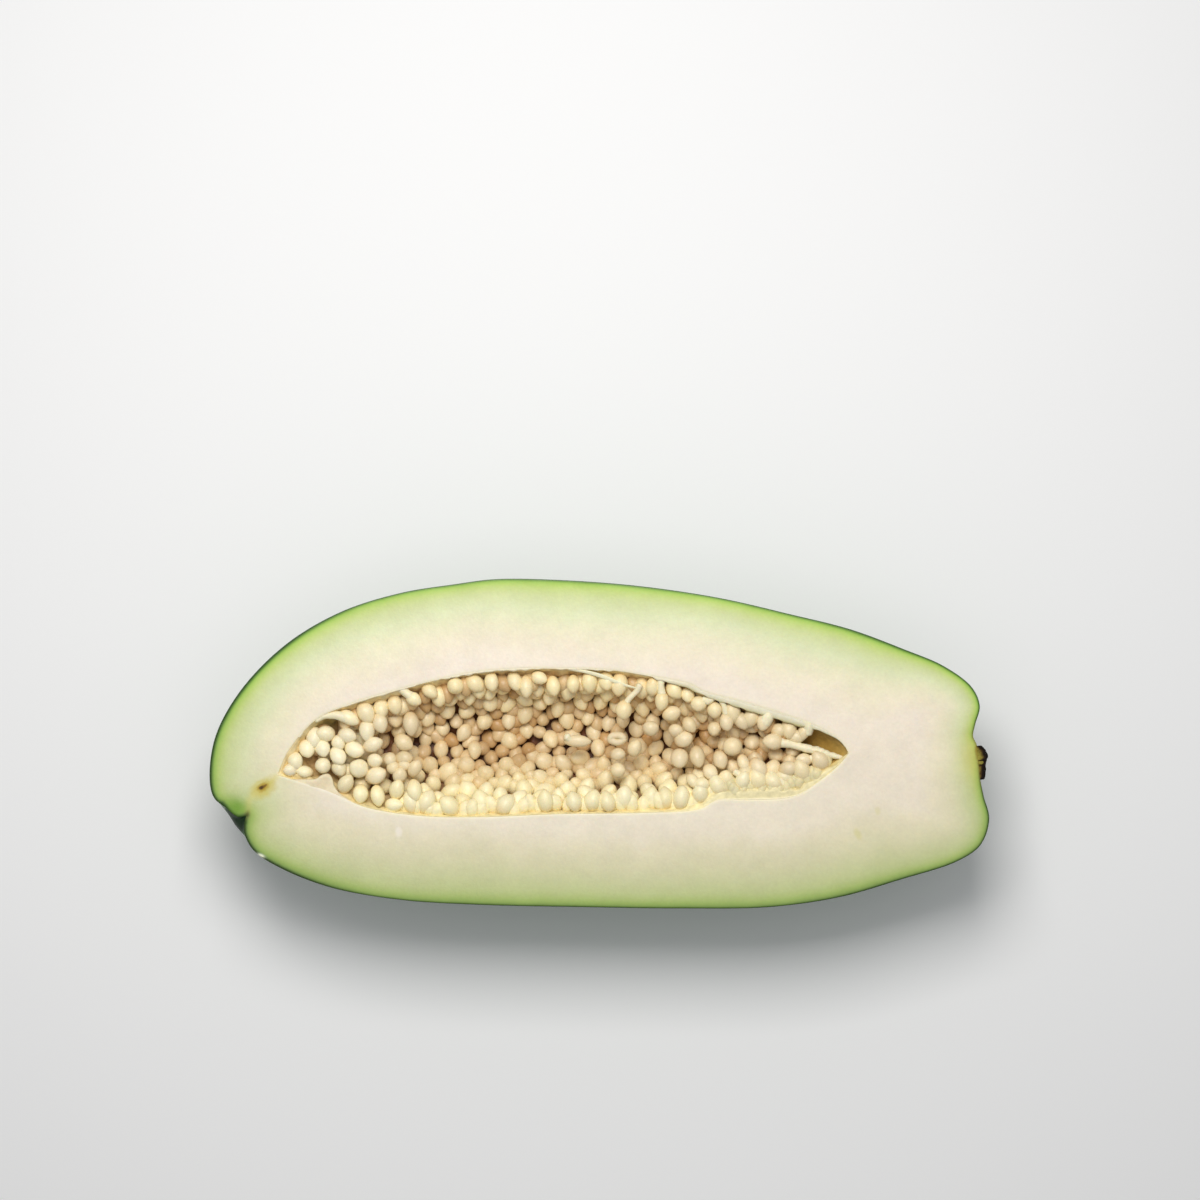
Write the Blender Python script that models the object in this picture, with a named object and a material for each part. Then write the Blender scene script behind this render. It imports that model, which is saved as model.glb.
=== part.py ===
"""A green papaya cut in half along its length, lying on its rounded back with the cut face up.

X runs from the blossom end to the stem end, Y across the cut face, Z up. The origin is at
the middle of the footprint, on the small flat spot that the fruit rests on.
Run it with: blender --background --python part.py
"""

import math

import bmesh
import bpy
import numpy as np
from mathutils import Matrix, Vector
from mathutils.bvhtree import BVHTree

MM = 0.001

# Driving dimensions, in millimetres
CUT_HEIGHT = 58.3
ROUNDNESS = 0.988
SEED_LENGTH = 6.6
SEED_WIDTH = 5.4
SEED_GAP = 0.3

# Outline of the cut face, in millimetres from its middle: its two edges run from the stem
# to the cleft in the blossom end
STEM_POLE = (136.6, -6.7)
BLOSSOM_CLEFT = (-127.3, -26.1)
UPPER_EDGE = (
    STEM_POLE, (135.9, -0.5), (134.6, 2.7), (135.4, 7.0), (137.0, 13.5), (134.1, 20.3),
    (124.0, 27.9), (109.6, 34.0), (90.2, 41.2), (68.6, 46.6), (43.4, 52.4), (14.6, 56.7),
    (-14.2, 58.9), (-37.6, 59.2), (-52.0, 57.4), (-71.8, 54.2), (-93.4, 47.3), (-113.2, 35.5),
    (-129.4, 18.9), (-138.4, 2.3), (-140.4, -13.1), (-138.8, -19.6), (-134.5, -23.2),
    (-130.1, -26.5), BLOSSOM_CLEFT,
)
LOWER_EDGE = (
    STEM_POLE, (137.2, -12.8), (138.4, -18.9), (140.4, -27.2), (137.3, -36.5), (129.1, -42.3),
    (108.2, -49.1), (86.6, -55.3), (61.4, -58.9), (29.0, -59.4), (-7.0, -58.9), (-43.0, -58.1),
    (-71.8, -56.3), (-97.0, -51.8), (-115.0, -44.8), (-124.4, -38.7), (-127.6, -33.3),
    (-128.0, -29.7), BLOSSOM_CLEFT,
)

# Outline of the seed cavity in the cut face, from its stem tip to its blossom tip
CAVITY_STEM_TIP = (89.8, -3.4)
CAVITY_BLOSSOM_TIP = (-116.1, -11.3)
CAVITY_UPPER_EDGE = (
    CAVITY_STEM_TIP, (87.3, 0.5), (79.4, 5.6), (65.0, 11.0), (50.6, 15.3), (37.6, 18.7),
    (32.6, 21.4), (18.2, 24.3), (3.8, 26.5), (-14.2, 27.0), (-28.6, 27.0), (-46.6, 25.4),
    (-71.8, 19.6), (-89.8, 14.2), (-102.4, 8.5), (-112.1, -2.7), CAVITY_BLOSSOM_TIP,
)
CAVITY_LOWER_EDGE = (
    CAVITY_STEM_TIP, (86.6, -7.4), (80.8, -12.4), (70.4, -18.9), (54.2, -20.3), (42.7, -20.3),
    (36.2, -23.6), (14.6, -25.0), (-14.2, -25.4), (-43.0, -26.5), (-64.6, -26.1), (-84.4, -22.9),
    (-97.0, -17.5), (-107.8, -13.9), CAVITY_BLOSSOM_TIP,
)

# The five soft ribs of the skin: crests stand above the round section, most at the ends
RIBS = 5
RIB_HEIGHT = 0.016
END_RIB_HEIGHT = 0.11
END_RIB_REACH = 0.06

# Where the back swells out past the cleft in the blossom end, and is tucked in at the stem
# end: how far and which way, where it peaks, and how fast it grows and fades
LOBE_SWELL = {"by": (-1.6, 0.0), "peak": 0.978, "before": 0.06, "after": 0.012}
STEM_TUCK = {"by": (-4.5, 0.0), "peak": 0.062, "before": 0.022, "after": 0.12}

# The pulpy shelf at the stem end of the cavity, where its wall climbs towards the cut face
SHELF_CENTRE = 0.17
SHELF_REACH = 0.10
SHELF_STEEPNESS = 2.4

# Mesh density: rings along each form and steps round each half ring
FLESH_RINGS, FLESH_SIDES = 46, 16
CAVITY_RINGS, CAVITY_SIDES = 34, 9
HOLLOW_RINGS, HOLLOW_SIDES = 14, 6
CROWDING = 0.55

# The seed bed: a thin lining of pulp with the seeds standing in it
LINING = 4.1
LINING_TOP = -1.6
LINING_GAP = 0.45
LINING_ENDS = 2.0
SEED_BED = 5.8
SEED_COUNT = 276
SEED_SPACING = 4.6
SEED_STRAY = 0.35
SEED_SIZE_SPREAD = 0.10
SEED_TILT = 0.5
SEED_ABOVE_CUT = 0.6
SEED_RANDOM = 20

# The woody scar of the fruit's stalk: half a ring in the dimple of the stem end
SCAR_CENTRE = (137.05, -6.9)
SCAR_FACING = (0.994, 0.105)
SCAR_INNER, SCAR_OUTER = 0.8, 6.0
SCAR_HEIGHTS = (3.0, 1.9)
SCAR_STEPS = 12

# How far a cutter stands above the cut face, and how far its rim is kept off that plane
EXTRA = 6.0
OFF_PLANE = 0.4


def clear_scene():
    for obj in list(bpy.data.objects):
        bpy.data.objects.remove(obj)


def material(name, colour, roughness):
    made = bpy.data.materials.new(name)
    made.use_nodes = True
    shader = made.node_tree.nodes["Principled BSDF"]
    shader.inputs["Base Color"].default_value = (*colour, 1.0)
    shader.inputs["Roughness"].default_value = roughness
    return made


def smooth_curve(points, steps=24):
    """Points along the centripetal Catmull-Rom spline through the given ones."""
    given = np.array(points, float)
    given = np.vstack([2 * given[0] - given[1], given, 2 * given[-1] - given[-2]])
    curve = []
    for p0, p1, p2, p3 in zip(given, given[1:], given[2:], given[3:]):
        t1 = math.sqrt(np.linalg.norm(p1 - p0))
        t2 = t1 + math.sqrt(np.linalg.norm(p2 - p1))
        t3 = t2 + math.sqrt(np.linalg.norm(p3 - p2))
        for t in np.linspace(t1, t2, steps, endpoint=False):
            a1 = p0 + (p1 - p0) * t / t1
            a2 = p1 + (p2 - p1) * (t - t1) / (t2 - t1)
            a3 = p2 + (p3 - p2) * (t - t2) / (t3 - t2)
            b1 = a1 + (a2 - a1) * t / t2
            b2 = a2 + (a3 - a2) * (t - t1) / (t3 - t1)
            curve.append(b1 + (b2 - b1) * (t - t1) / (t2 - t1))
    curve.append(given[-2])
    return np.array(curve)


def along(curve, shares):
    """The curve's points at these shares of its length."""
    lengths = np.linalg.norm(np.diff(curve, axis=0), axis=1)
    travelled = np.concatenate([[0.0], np.cumsum(lengths)])
    at = np.asarray(shares) * travelled[-1]
    return np.column_stack([np.interp(at, travelled, curve[:, k]) for k in (0, 1)])


def stations(count, first=0.0, last=1.0):
    """Shares of the length from first to last, closer together towards the two ends."""
    even = np.linspace(0.0, 1.0, count + 1)
    crowded = (1.0 - np.cos(math.pi * even)) / 2.0
    return first + (last - first) * (CROWDING * crowded + (1.0 - CROWDING) * even)


def flesh_section(shares, angles):
    """The skin's reach against a round half section: the ribs fade out at the cut face."""
    fade = np.sin(angles) ** 2 / (np.sin(angles) ** 2 + 0.12)
    wave = np.cos(RIBS * angles) * fade
    to_end = np.minimum(shares, 1.0 - shares) / END_RIB_REACH
    height = RIB_HEIGHT + END_RIB_HEIGHT * np.exp(-(to_end**2))
    return 1.0 + height[:, None] * wave[None, :]


def half_rings(upper, lower, shares, sides, inset=None, section=None, shelf=False):
    """Half rings slung under the cut face, from the upper edge to the lower one.

    Each ring hangs between the two edges' points at the same share of their length. inset
    says what is left of a ring's half width. Angle 0 is at the upper edge, pi at the lower.
    """
    shares = np.asarray(shares, float)
    angles = np.linspace(0.0, math.pi, sides + 1)
    top = along(smooth_curve(upper), shares)
    bottom = along(smooth_curve(lower), shares)
    middle, chord = (top + bottom) / 2.0, (top - bottom) / 2.0
    half = np.linalg.norm(chord, axis=1)
    kept = half if inset is None else inset(half)
    chord = chord * (kept / np.maximum(half, 1e-9))[:, None]
    reach = np.ones((len(shares), len(angles))) if section is None else section(shares, angles)
    sling = np.sin(angles)[None, :] * np.ones((len(shares), 1))
    if shelf:
        near = np.exp(-(((shares - SHELF_CENTRE) / SHELF_REACH) ** 2))
        low_side = np.clip((angles - math.pi / 2) / (math.pi / 2), 0.0, 1.0)
        power = 1.0 + SHELF_STEEPNESS * near[:, None] * np.sqrt(low_side)[None, :]
        sling = np.clip(sling, 0.0, 1.0) ** power
    rings = np.empty((len(shares), len(angles), 3))
    sideways = np.cos(angles)[None, :, None] * reach[:, :, None]
    rings[:, :, :2] = middle[:, None, :] + chord[:, None, :] * sideways
    rings[:, :, 2] = -ROUNDNESS * kept[:, None] * sling * reach
    return rings


def move_back(rings, shares, by, peak, before, after):
    """Moves the back of the rings round one share of the length, and never the cut edge."""
    past = np.asarray(shares) - peak
    reach = np.where(past < 0.0, before, after)
    angles = np.linspace(0.0, math.pi, rings.shape[1])
    weight = np.exp(-((past / reach) ** 2))[:, None] * np.sin(angles) ** 2
    rings[:, :, :2] += weight[:, :, None] * np.array(by)
    return rings


def closed_mesh(name, rings, lift=0.0):
    """A closed solid from half rings whose first and last ring are single points.

    lift carries the rim straight up by so much before it is closed, as on a cutter, whose
    rim is also kept off the cut face's plane.
    """
    bm = bmesh.new()
    last = len(rings) - 1
    grid = []
    for number, ring in enumerate(rings):
        points = ring[:1] if number in (0, last) else ring
        grid.append([bm.verts.new(Vector(p) * MM) for p in points])
    for a, b in zip(grid, grid[1:]):
        for j in range(rings.shape[1] - 1):
            corners = [a[min(j, len(a) - 1)], a[min(j + 1, len(a) - 1)]]
            corners += [b[min(j + 1, len(b) - 1)], b[min(j, len(b) - 1)]]
            bm.faces.new(list(dict.fromkeys(corners)))
    rim = [g[0] for g in grid] + [g[-1] for g in reversed(grid[1:-1])]
    if lift:
        raised = [bm.verts.new(v.co + Vector((0.0, 0.0, lift * MM))) for v in rim]
        for vertex in rim:
            vertex.co.z += OFF_PLANE * MM
        for k, low in enumerate(rim):
            following = (k + 1) % len(rim)
            bm.faces.new([low, rim[following], raised[following], raised[k]])
        rim = raised
    bm.faces.new(rim)
    return mesh_object(name, bm)


def mesh_object(name, bm):
    """The finished shape as an object in the scene, with its faces pointing out."""
    bmesh.ops.recalc_face_normals(bm, faces=bm.faces[:])
    mesh = bpy.data.meshes.new(name)
    bm.to_mesh(mesh)
    bm.free()
    obj = bpy.data.objects.new(name, mesh)
    bpy.context.scene.collection.objects.link(obj)
    return obj


def combine(obj, operation, other=None, collection=None):
    """Applies one Boolean and removes what it used."""
    modifier = obj.modifiers.new("Boolean", "BOOLEAN")
    modifier.operation = operation
    if collection is None:
        modifier.object = other
    else:
        modifier.operand_type = "COLLECTION"
        modifier.collection = collection
    graph = bpy.context.evaluated_depsgraph_get()
    mesh = bpy.data.meshes.new_from_object(obj.evaluated_get(graph))
    obj.modifiers.clear()
    obj.data = mesh
    used = [other] if collection is None else list(collection.objects)
    for helper in used:
        bpy.data.objects.remove(helper)
    if collection is not None:
        bpy.data.collections.remove(collection)
    return obj


def cut_level(obj, height, keep_above=True):
    """Cuts the solid with a level plane and closes the cut."""
    bm = bmesh.new()
    bm.from_mesh(obj.data)
    cut = bmesh.ops.bisect_plane(
        bm,
        geom=bm.verts[:] + bm.edges[:] + bm.faces[:],
        plane_co=(0.0, 0.0, height * MM),
        plane_no=(0.0, 0.0, 1.0),
        clear_inner=keep_above,
        clear_outer=not keep_above,
    )
    edges = [e for e in cut["geom_cut"] if isinstance(e, bmesh.types.BMEdge)]
    bmesh.ops.edgeloop_fill(bm, edges=edges)
    bmesh.ops.recalc_face_normals(bm, faces=bm.faces[:])
    bm.to_mesh(obj.data)
    bm.free()


def finish(obj, *materials):
    obj.data.materials.clear()
    for one in materials:
        obj.data.materials.append(one)


def shade(obj, degrees=35.0):
    """Smooth over the round forms, sharp where two faces meet at more than the angle."""
    obj.data.shade_smooth()
    obj.data.set_sharp_from_angle(angle=math.radians(degrees))


def search_tree(obj):
    """A search tree of the solid's surface, to measure clearances from."""
    bm = bmesh.new()
    bm.from_mesh(obj.data)
    tree = BVHTree.FromBMesh(bm)
    bm.free()
    return tree


def cavity_rings(shares, sides=CAVITY_SIDES, inset=None):
    return half_rings(
        CAVITY_UPPER_EDGE, CAVITY_LOWER_EDGE, shares, sides, inset=inset, shelf=True
    )


def make_flesh():
    """Flesh and rind in one: the half fruit with its seed cavity scooped out."""
    inside = material("papaya_flesh", (0.82, 0.83, 0.58), 0.5)
    rind = material("papaya_rind", (0.05, 0.22, 0.03), 0.32)
    shares = stations(FLESH_RINGS)
    rings = half_rings(UPPER_EDGE, LOWER_EDGE, shares, FLESH_SIDES, section=flesh_section)
    move_back(rings, shares, **LOBE_SWELL)
    move_back(rings, shares, **STEM_TUCK)
    flesh = closed_mesh("flesh", rings)
    cut_level(flesh, -CUT_HEIGHT)
    finish(flesh, inside, rind)
    for face in flesh.data.polygons:
        face.material_index = 0 if face.normal.z > 0.999 else 1
    hollow = closed_mesh("cavity", cavity_rings(stations(CAVITY_RINGS)), lift=EXTRA)
    finish(hollow, inside)
    combine(flesh, "DIFFERENCE", other=hollow)
    shade(flesh)
    return flesh


def pushed_in(rings, amount):
    """The same rings, each point moved off the wall by amount along the wall's normal."""
    normals = np.cross(np.gradient(rings, axis=0), np.gradient(rings, axis=1))
    normals /= np.maximum(np.linalg.norm(normals, axis=2), 1e-9)[:, :, None]
    moved = rings + amount * normals
    moved[:, (0, -1), 2] = 0.0
    return moved


def closed_to_points(rings):
    """The same rings with the first and last one drawn together into points."""
    for end in (0, -1):
        rings[end] = rings[end].mean(axis=0)
    return rings


def make_lining():
    """The bed of the seeds: it lines the cavity and leaves its middle open."""
    wall = cavity_rings(stations(CAVITY_RINGS))
    half = np.linalg.norm(wall[:, 0] - wall[:, -1], axis=1) / 2.0
    outer = pushed_in(wall, LINING_GAP)[half > LINING_ENDS]
    lining = closed_mesh("seeds", closed_to_points(outer))
    cut_level(lining, LINING_TOP, keep_above=False)
    wide = stations(CAVITY_RINGS)[half > LINING + 0.8]
    shares = stations(HOLLOW_RINGS, wide[0], wide[-1])
    thinned = cavity_rings(shares, HOLLOW_SIDES, inset=lambda width: width - LINING)
    combine(lining, "DIFFERENCE", other=closed_mesh("hollow", closed_to_points(thinned), EXTRA))
    return lining


def seed_mesh(centre, direction, length, width):
    """One seed: an icosahedron drawn out along its direction."""
    bm = bmesh.new()
    bmesh.ops.create_icosphere(bm, subdivisions=1, radius=1.0)
    turn = Vector((0.0, 0.0, 1.0)).rotation_difference(direction).to_matrix().to_4x4()
    stretch = Matrix.Diagonal((width / 2.0, width / 2.0, length / 2.0, 1.0))
    bm.transform(Matrix.Scale(MM, 4) @ Matrix.Translation(centre) @ turn @ stretch)
    mesh = bpy.data.meshes.new("seed")
    bm.to_mesh(mesh)
    bm.free()
    return mesh


def room(mesh, wall):
    """The least distance from the seed to the wall, in mm, and the way off the wall."""
    least, away = 1e9, Vector((0.0, 0.0, 1.0))
    corners = [vertex.co for vertex in mesh.vertices]
    middles = [(corners[a] + corners[b]) / 2.0 for a, b in (e.vertices for e in mesh.edges)]
    for spot in corners + middles:
        nearest, normal, _, distance = wall.find_nearest(spot)
        if (spot - nearest).dot(normal) < 0.0:
            distance = -distance
        if distance / MM < least:
            least, away = distance / MM, normal
    return least, away


def place_seeds(wall):
    """Seeds over the whole bed: each next one stands where the bed is emptiest.

    A seed points from the wall into the hollow, a little askew, is pushed off the wall
    until it clears it, and hardly stands above the cut face.
    """
    draw = np.random.default_rng(SEED_RANDOM)
    shares = np.linspace(0.006, 0.994, 240)
    back = cavity_rings(shares, sides=48).reshape(-1, 3)
    bed = cavity_rings(shares, sides=48, inset=lambda half: half**2 / (half + SEED_BED))
    bed = bed.reshape(-1, 3)
    emptiness = np.full(len(bed), 1e3) + draw.uniform(0.0, 1.0, len(bed))
    seeds = bpy.data.collections.new("seed_pieces")
    while len(seeds.objects) < SEED_COUNT and emptiness.max() > SEED_SPACING:
        pick = int(emptiness.argmax())
        size = 1.0 + SEED_SIZE_SPREAD * draw.uniform(-1.0, 1.0)
        length, width = SEED_LENGTH * size, SEED_WIDTH * size
        askew = Vector(SEED_TILT * draw.uniform(-1.0, 1.0, 3))
        direction = (Vector(bed[pick] - back[pick]).normalized() + askew).normalized()
        centre = Vector(bed[pick] + SEED_STRAY * draw.uniform(-1.0, 1.0, 3))
        distances = np.linalg.norm(bed - np.array(centre), axis=1)
        emptiness = np.minimum(emptiness, distances)
        emptiness[pick] = 0.0
        mesh = seed_mesh(centre, direction, length, width)
        least, away = room(mesh, wall)
        if least < SEED_GAP:
            centre += away * (SEED_GAP - least + 0.05)
        mesh = seed_mesh(centre, direction, length, width)
        top = max(vertex.co.z for vertex in mesh.vertices) / MM
        centre.z -= max(top - SEED_ABOVE_CUT, 0.0)
        mesh = seed_mesh(centre, direction, length, width)
        if room(mesh, wall)[0] >= SEED_GAP:
            seeds.objects.link(bpy.data.objects.new("seed", mesh))
    return seeds


def keep_largest(obj):
    """Drops the loose scraps: only the largest connected body stays."""
    bm = bmesh.new()
    bm.from_mesh(obj.data)
    bm.verts.ensure_lookup_table()
    left, bodies = set(bm.verts), []
    while left:
        front = [left.pop()]
        body = list(front)
        while front:
            reached = [e.other_vert(v) for v in front for e in v.link_edges]
            front = [v for v in dict.fromkeys(reached) if v in left]
            left.difference_update(front)
            body += front
        bodies.append(body)
    for body in sorted(bodies, key=len)[:-1]:
        bmesh.ops.delete(bm, geom=body, context="VERTS")
    bm.to_mesh(obj.data)
    bm.free()


def make_seeds(flesh):
    """All the seeds, joined with the bed they stand in."""
    seeds = make_lining()
    combine(seeds, "UNION", collection=place_seeds(search_tree(flesh)))
    keep_largest(seeds)
    finish(seeds, material("papaya_seeds", (0.84, 0.76, 0.62), 0.4))
    shade(seeds)


def make_stem_scar():
    """Half a ring of brown wood, thicker at its upper end, cut level with the cut face."""
    out = Vector((*SCAR_FACING, 0.0))
    side = Vector((-SCAR_FACING[1], SCAR_FACING[0], 0.0))
    bm = bmesh.new()
    rings = []
    for angle in np.linspace(0.0, math.pi, SCAR_STEPS + 1):
        outward = side * math.cos(angle) - Vector((0.0, 0.0, math.sin(angle)))
        share = (1.0 + math.cos(angle)) / 2.0
        height = share * SCAR_HEIGHTS[0] + (1.0 - share) * SCAR_HEIGHTS[1]
        section = (
            (SCAR_INNER, 0.0), (SCAR_INNER, height * 0.6), (SCAR_INNER + 0.8, height),
            (SCAR_INNER + 2.4, height * 0.95), (SCAR_OUTER - 0.9, height * 0.7),
            (SCAR_OUTER, height * 0.3), (SCAR_OUTER - 0.2, 0.0),
        )
        ring = []
        for radius, rise in section:
            spot = Vector((*SCAR_CENTRE, 0.0)) + outward * radius + out * rise
            ring.append(bm.verts.new(spot * MM))
        rings.append(ring)
    for a, b in zip(rings, rings[1:]):
        for k in range(len(a)):
            following = (k + 1) % len(a)
            bm.faces.new([a[k], a[following], b[following], b[k]])
    bm.faces.new(rings[0])
    bm.faces.new(list(reversed(rings[-1])))
    scar = mesh_object("stem_scar", bm)
    finish(scar, material("papaya_scar", (0.16, 0.09, 0.04), 0.8))
    shade(scar)


def main():
    clear_scene()
    make_seeds(make_flesh())
    make_stem_scar()
    for obj in bpy.data.objects:
        for vertex in obj.data.vertices:
            vertex.co.z += CUT_HEIGHT * MM


main()
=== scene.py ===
"""A green papaya half on a pale floor, its cut face up, with real flesh, skin and seeds.

Lengths are in millimetres, and heights are measured from the plane of the cut face, until
add_piece turns both into metres above the floor. +X is the stem end.
"""

import math

import bmesh
import bpy
import numpy as np
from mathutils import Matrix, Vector
from mathutils.bvhtree import BVHTree
from numpy.linalg import norm


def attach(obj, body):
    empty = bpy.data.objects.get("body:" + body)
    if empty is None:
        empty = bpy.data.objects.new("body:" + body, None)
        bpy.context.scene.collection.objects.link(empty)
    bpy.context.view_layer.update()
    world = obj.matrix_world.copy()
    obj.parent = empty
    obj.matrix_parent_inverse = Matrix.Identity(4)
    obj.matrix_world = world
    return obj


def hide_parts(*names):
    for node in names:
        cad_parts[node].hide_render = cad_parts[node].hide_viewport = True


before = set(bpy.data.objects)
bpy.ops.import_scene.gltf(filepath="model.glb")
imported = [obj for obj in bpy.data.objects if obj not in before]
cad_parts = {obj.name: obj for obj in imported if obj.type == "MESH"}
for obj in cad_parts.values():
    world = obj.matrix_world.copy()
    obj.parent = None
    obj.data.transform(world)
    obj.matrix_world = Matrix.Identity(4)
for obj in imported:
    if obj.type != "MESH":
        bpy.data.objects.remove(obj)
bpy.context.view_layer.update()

MM = 0.001
CUT_HEIGHT = 58.3
ROUNDNESS = 0.988
TINY = 1e-9
FAR = 1e3
draw = np.random.default_rng(7)

# The cut face's outline and its cavity's, in millimetres, each as an upper and a lower edge
# from the stem end to the blossom end
STEM_POLE = (136.6, -6.7)
BLOSSOM_CLEFT = (-127.3, -26.1)
UPPER_EDGE = (
    STEM_POLE, (135.9, -0.5), (134.6, 2.7), (135.4, 7.0), (137.0, 13.5), (134.1, 20.3),
    (124.0, 27.9), (109.6, 34.0), (90.2, 41.2), (68.6, 46.6), (43.4, 52.4), (14.6, 56.7),
    (-14.2, 58.9), (-37.6, 59.2), (-52.0, 57.4), (-71.8, 54.2), (-93.4, 47.3), (-113.2, 35.5),
    (-129.4, 18.9), (-138.4, 2.3), (-140.4, -13.1), (-138.8, -19.6), (-134.5, -23.2),
    (-130.1, -26.5), BLOSSOM_CLEFT,
)
LOWER_EDGE = (
    STEM_POLE, (137.2, -12.8), (138.4, -18.9), (140.4, -27.2), (137.3, -36.5), (129.1, -42.3),
    (108.2, -49.1), (86.6, -55.3), (61.4, -58.9), (29.0, -59.4), (-7.0, -58.9), (-43.0, -58.1),
    (-71.8, -56.3), (-97.0, -51.8), (-115.0, -44.8), (-124.4, -38.7), (-127.6, -33.3),
    (-128.0, -29.7), BLOSSOM_CLEFT,
)
CAVITY_STEM_TIP = (89.8, -3.4)
CAVITY_BLOSSOM_TIP = (-116.1, -11.3)
CAVITY_UPPER_EDGE = (
    CAVITY_STEM_TIP, (87.3, 0.5), (79.4, 5.6), (65.0, 11.0), (50.6, 15.3), (37.6, 18.7),
    (32.6, 21.4), (18.2, 24.3), (3.8, 26.5), (-14.2, 27.0), (-28.6, 27.0), (-46.6, 25.4),
    (-71.8, 19.6), (-89.8, 14.2), (-102.4, 8.5), (-112.1, -2.7), CAVITY_BLOSSOM_TIP,
)
CAVITY_LOWER_EDGE = (
    CAVITY_STEM_TIP, (86.6, -7.4), (80.8, -12.4), (70.4, -18.9), (54.2, -20.3), (42.7, -20.3),
    (36.2, -23.6), (14.6, -25.0), (-14.2, -25.4), (-43.0, -26.5), (-64.6, -26.1), (-84.4, -22.9),
    (-97.0, -17.5), (-107.8, -13.9), CAVITY_BLOSSOM_TIP,
)

RIBS = 5
RIB_HEIGHT, END_RIB_HEIGHT, END_RIB_REACH, RIB_FADE = 0.016, 0.11, 0.06, 0.12
LOBE_SWELL = {"by": (-1.6, 0.0), "peak": 0.978, "before": 0.06, "after": 0.012}
STEM_TUCK = {"by": (-4.5, 0.0), "peak": 0.062, "before": 0.022, "after": 0.12}
SHELF_CENTRE, SHELF_REACH, SHELF_STEEPNESS = 0.17, 0.10, 2.4
CROWDING = 0.55
RIM_STEPS = 440
SEAM_LEVEL = -0.17
EDGE_DROP = 0.12


# Helpers for numbers

def unit(value):
    """The value kept from 0 to 1."""
    return np.clip(value, 0.0, 1.0)


def rise(value, start, end):
    """0 up to start, 1 from end on, and even in between."""
    return unit((value - start) / (end - start))


def bell(value):
    """1 at 0, fading smoothly to both sides."""
    return np.exp(-(value**2))


def wobble(points, size, seed, waves=7):
    """Smooth uneven noise from about -1 to 1 with features about size across."""
    rule = np.random.default_rng(seed)
    total = np.zeros(points.shape[:-1])
    for _ in range(waves):
        way = rule.normal(size=points.shape[-1])
        way *= rule.uniform(0.6, 1.6) / norm(way)
        total += np.sin(points @ way * (2.0 * math.pi / size) + rule.uniform(0.0, 7.0))
    return total / (0.55 * waves)


def own_seed():
    """A fresh number to start one thing's own unevenness from."""
    return int(draw.integers(1 << 30))


def varied(amount):
    """A factor within this amount of 1."""
    return 1.0 + amount * draw.uniform(-1.0, 1.0)


def half_turn(sides):
    """The angles between this many sides over half a turn."""
    return np.linspace(0.0, math.pi, sides + 1)


# Forms

def smooth_curve(points, steps=40, centripetal=True):
    """Points along the Catmull-Rom spline through the given ones."""
    given = np.array(points, float)
    given = np.vstack([2 * given[0] - given[1], given, 2 * given[-1] - given[-2]])
    curve = []
    for p0, p1, p2, p3 in zip(given, given[1:], given[2:], given[3:]):
        sides = (p1 - p0, p2 - p1, p3 - p2)
        t1, t2, t3 = np.cumsum([math.sqrt(norm(side)) if centripetal else 1.0 for side in sides])
        for t in np.linspace(t1, t2, steps, endpoint=False):
            a1 = p0 + (p1 - p0) * t / t1
            a2 = p1 + (p2 - p1) * (t - t1) / (t2 - t1)
            a3 = p2 + (p3 - p2) * (t - t2) / (t3 - t2)
            b1 = a1 + (a2 - a1) * t / t2
            b2 = a2 + (a3 - a2) * (t - t1) / (t3 - t1)
            curve.append(b1 + (b2 - b1) * (t - t1) / (t2 - t1))
    curve.append(given[-2])
    return np.array(curve)


def along(curve, shares):
    """The points at these shares of the curve's length."""
    lengths = norm(np.diff(curve, axis=0), axis=1)
    travelled = np.concatenate([[0.0], np.cumsum(lengths)])
    at = np.asarray(shares) * travelled[-1]
    return np.column_stack([np.interp(at, travelled, curve[:, k]) for k in range(curve.shape[1])])


UPPER, LOWER = smooth_curve(UPPER_EDGE), smooth_curve(LOWER_EDGE)
CAVITY_UPPER, CAVITY_LOWER = smooth_curve(CAVITY_UPPER_EDGE), smooth_curve(CAVITY_LOWER_EDGE)


def smooth_path(points, steps):
    """A smooth curve with as many steps between each two of its points."""
    return smooth_curve(points, steps, centripetal=False)


def stations(count, first=0.0, last=1.0):
    """Shares of the length from first to last, closer together near the ends."""
    even = np.linspace(0.0, 1.0, count + 1)
    crowded = (1.0 - np.cos(math.pi * even)) / 2.0
    return first + (last - first) * (CROWDING * crowded + (1.0 - CROWDING) * even)


def flesh_section(shares, angles):
    """How far the rind's ribs reach: soft along the fruit, strong at its two ends."""
    fade = np.sin(angles) ** 2 / (np.sin(angles) ** 2 + RIB_FADE)
    wave = np.cos(RIBS * angles) * fade
    to_end = np.minimum(shares, 1.0 - shares) / END_RIB_REACH
    height = RIB_HEIGHT + END_RIB_HEIGHT * bell(to_end)
    return 1.0 + height[:, None] * wave[None, :]


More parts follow.
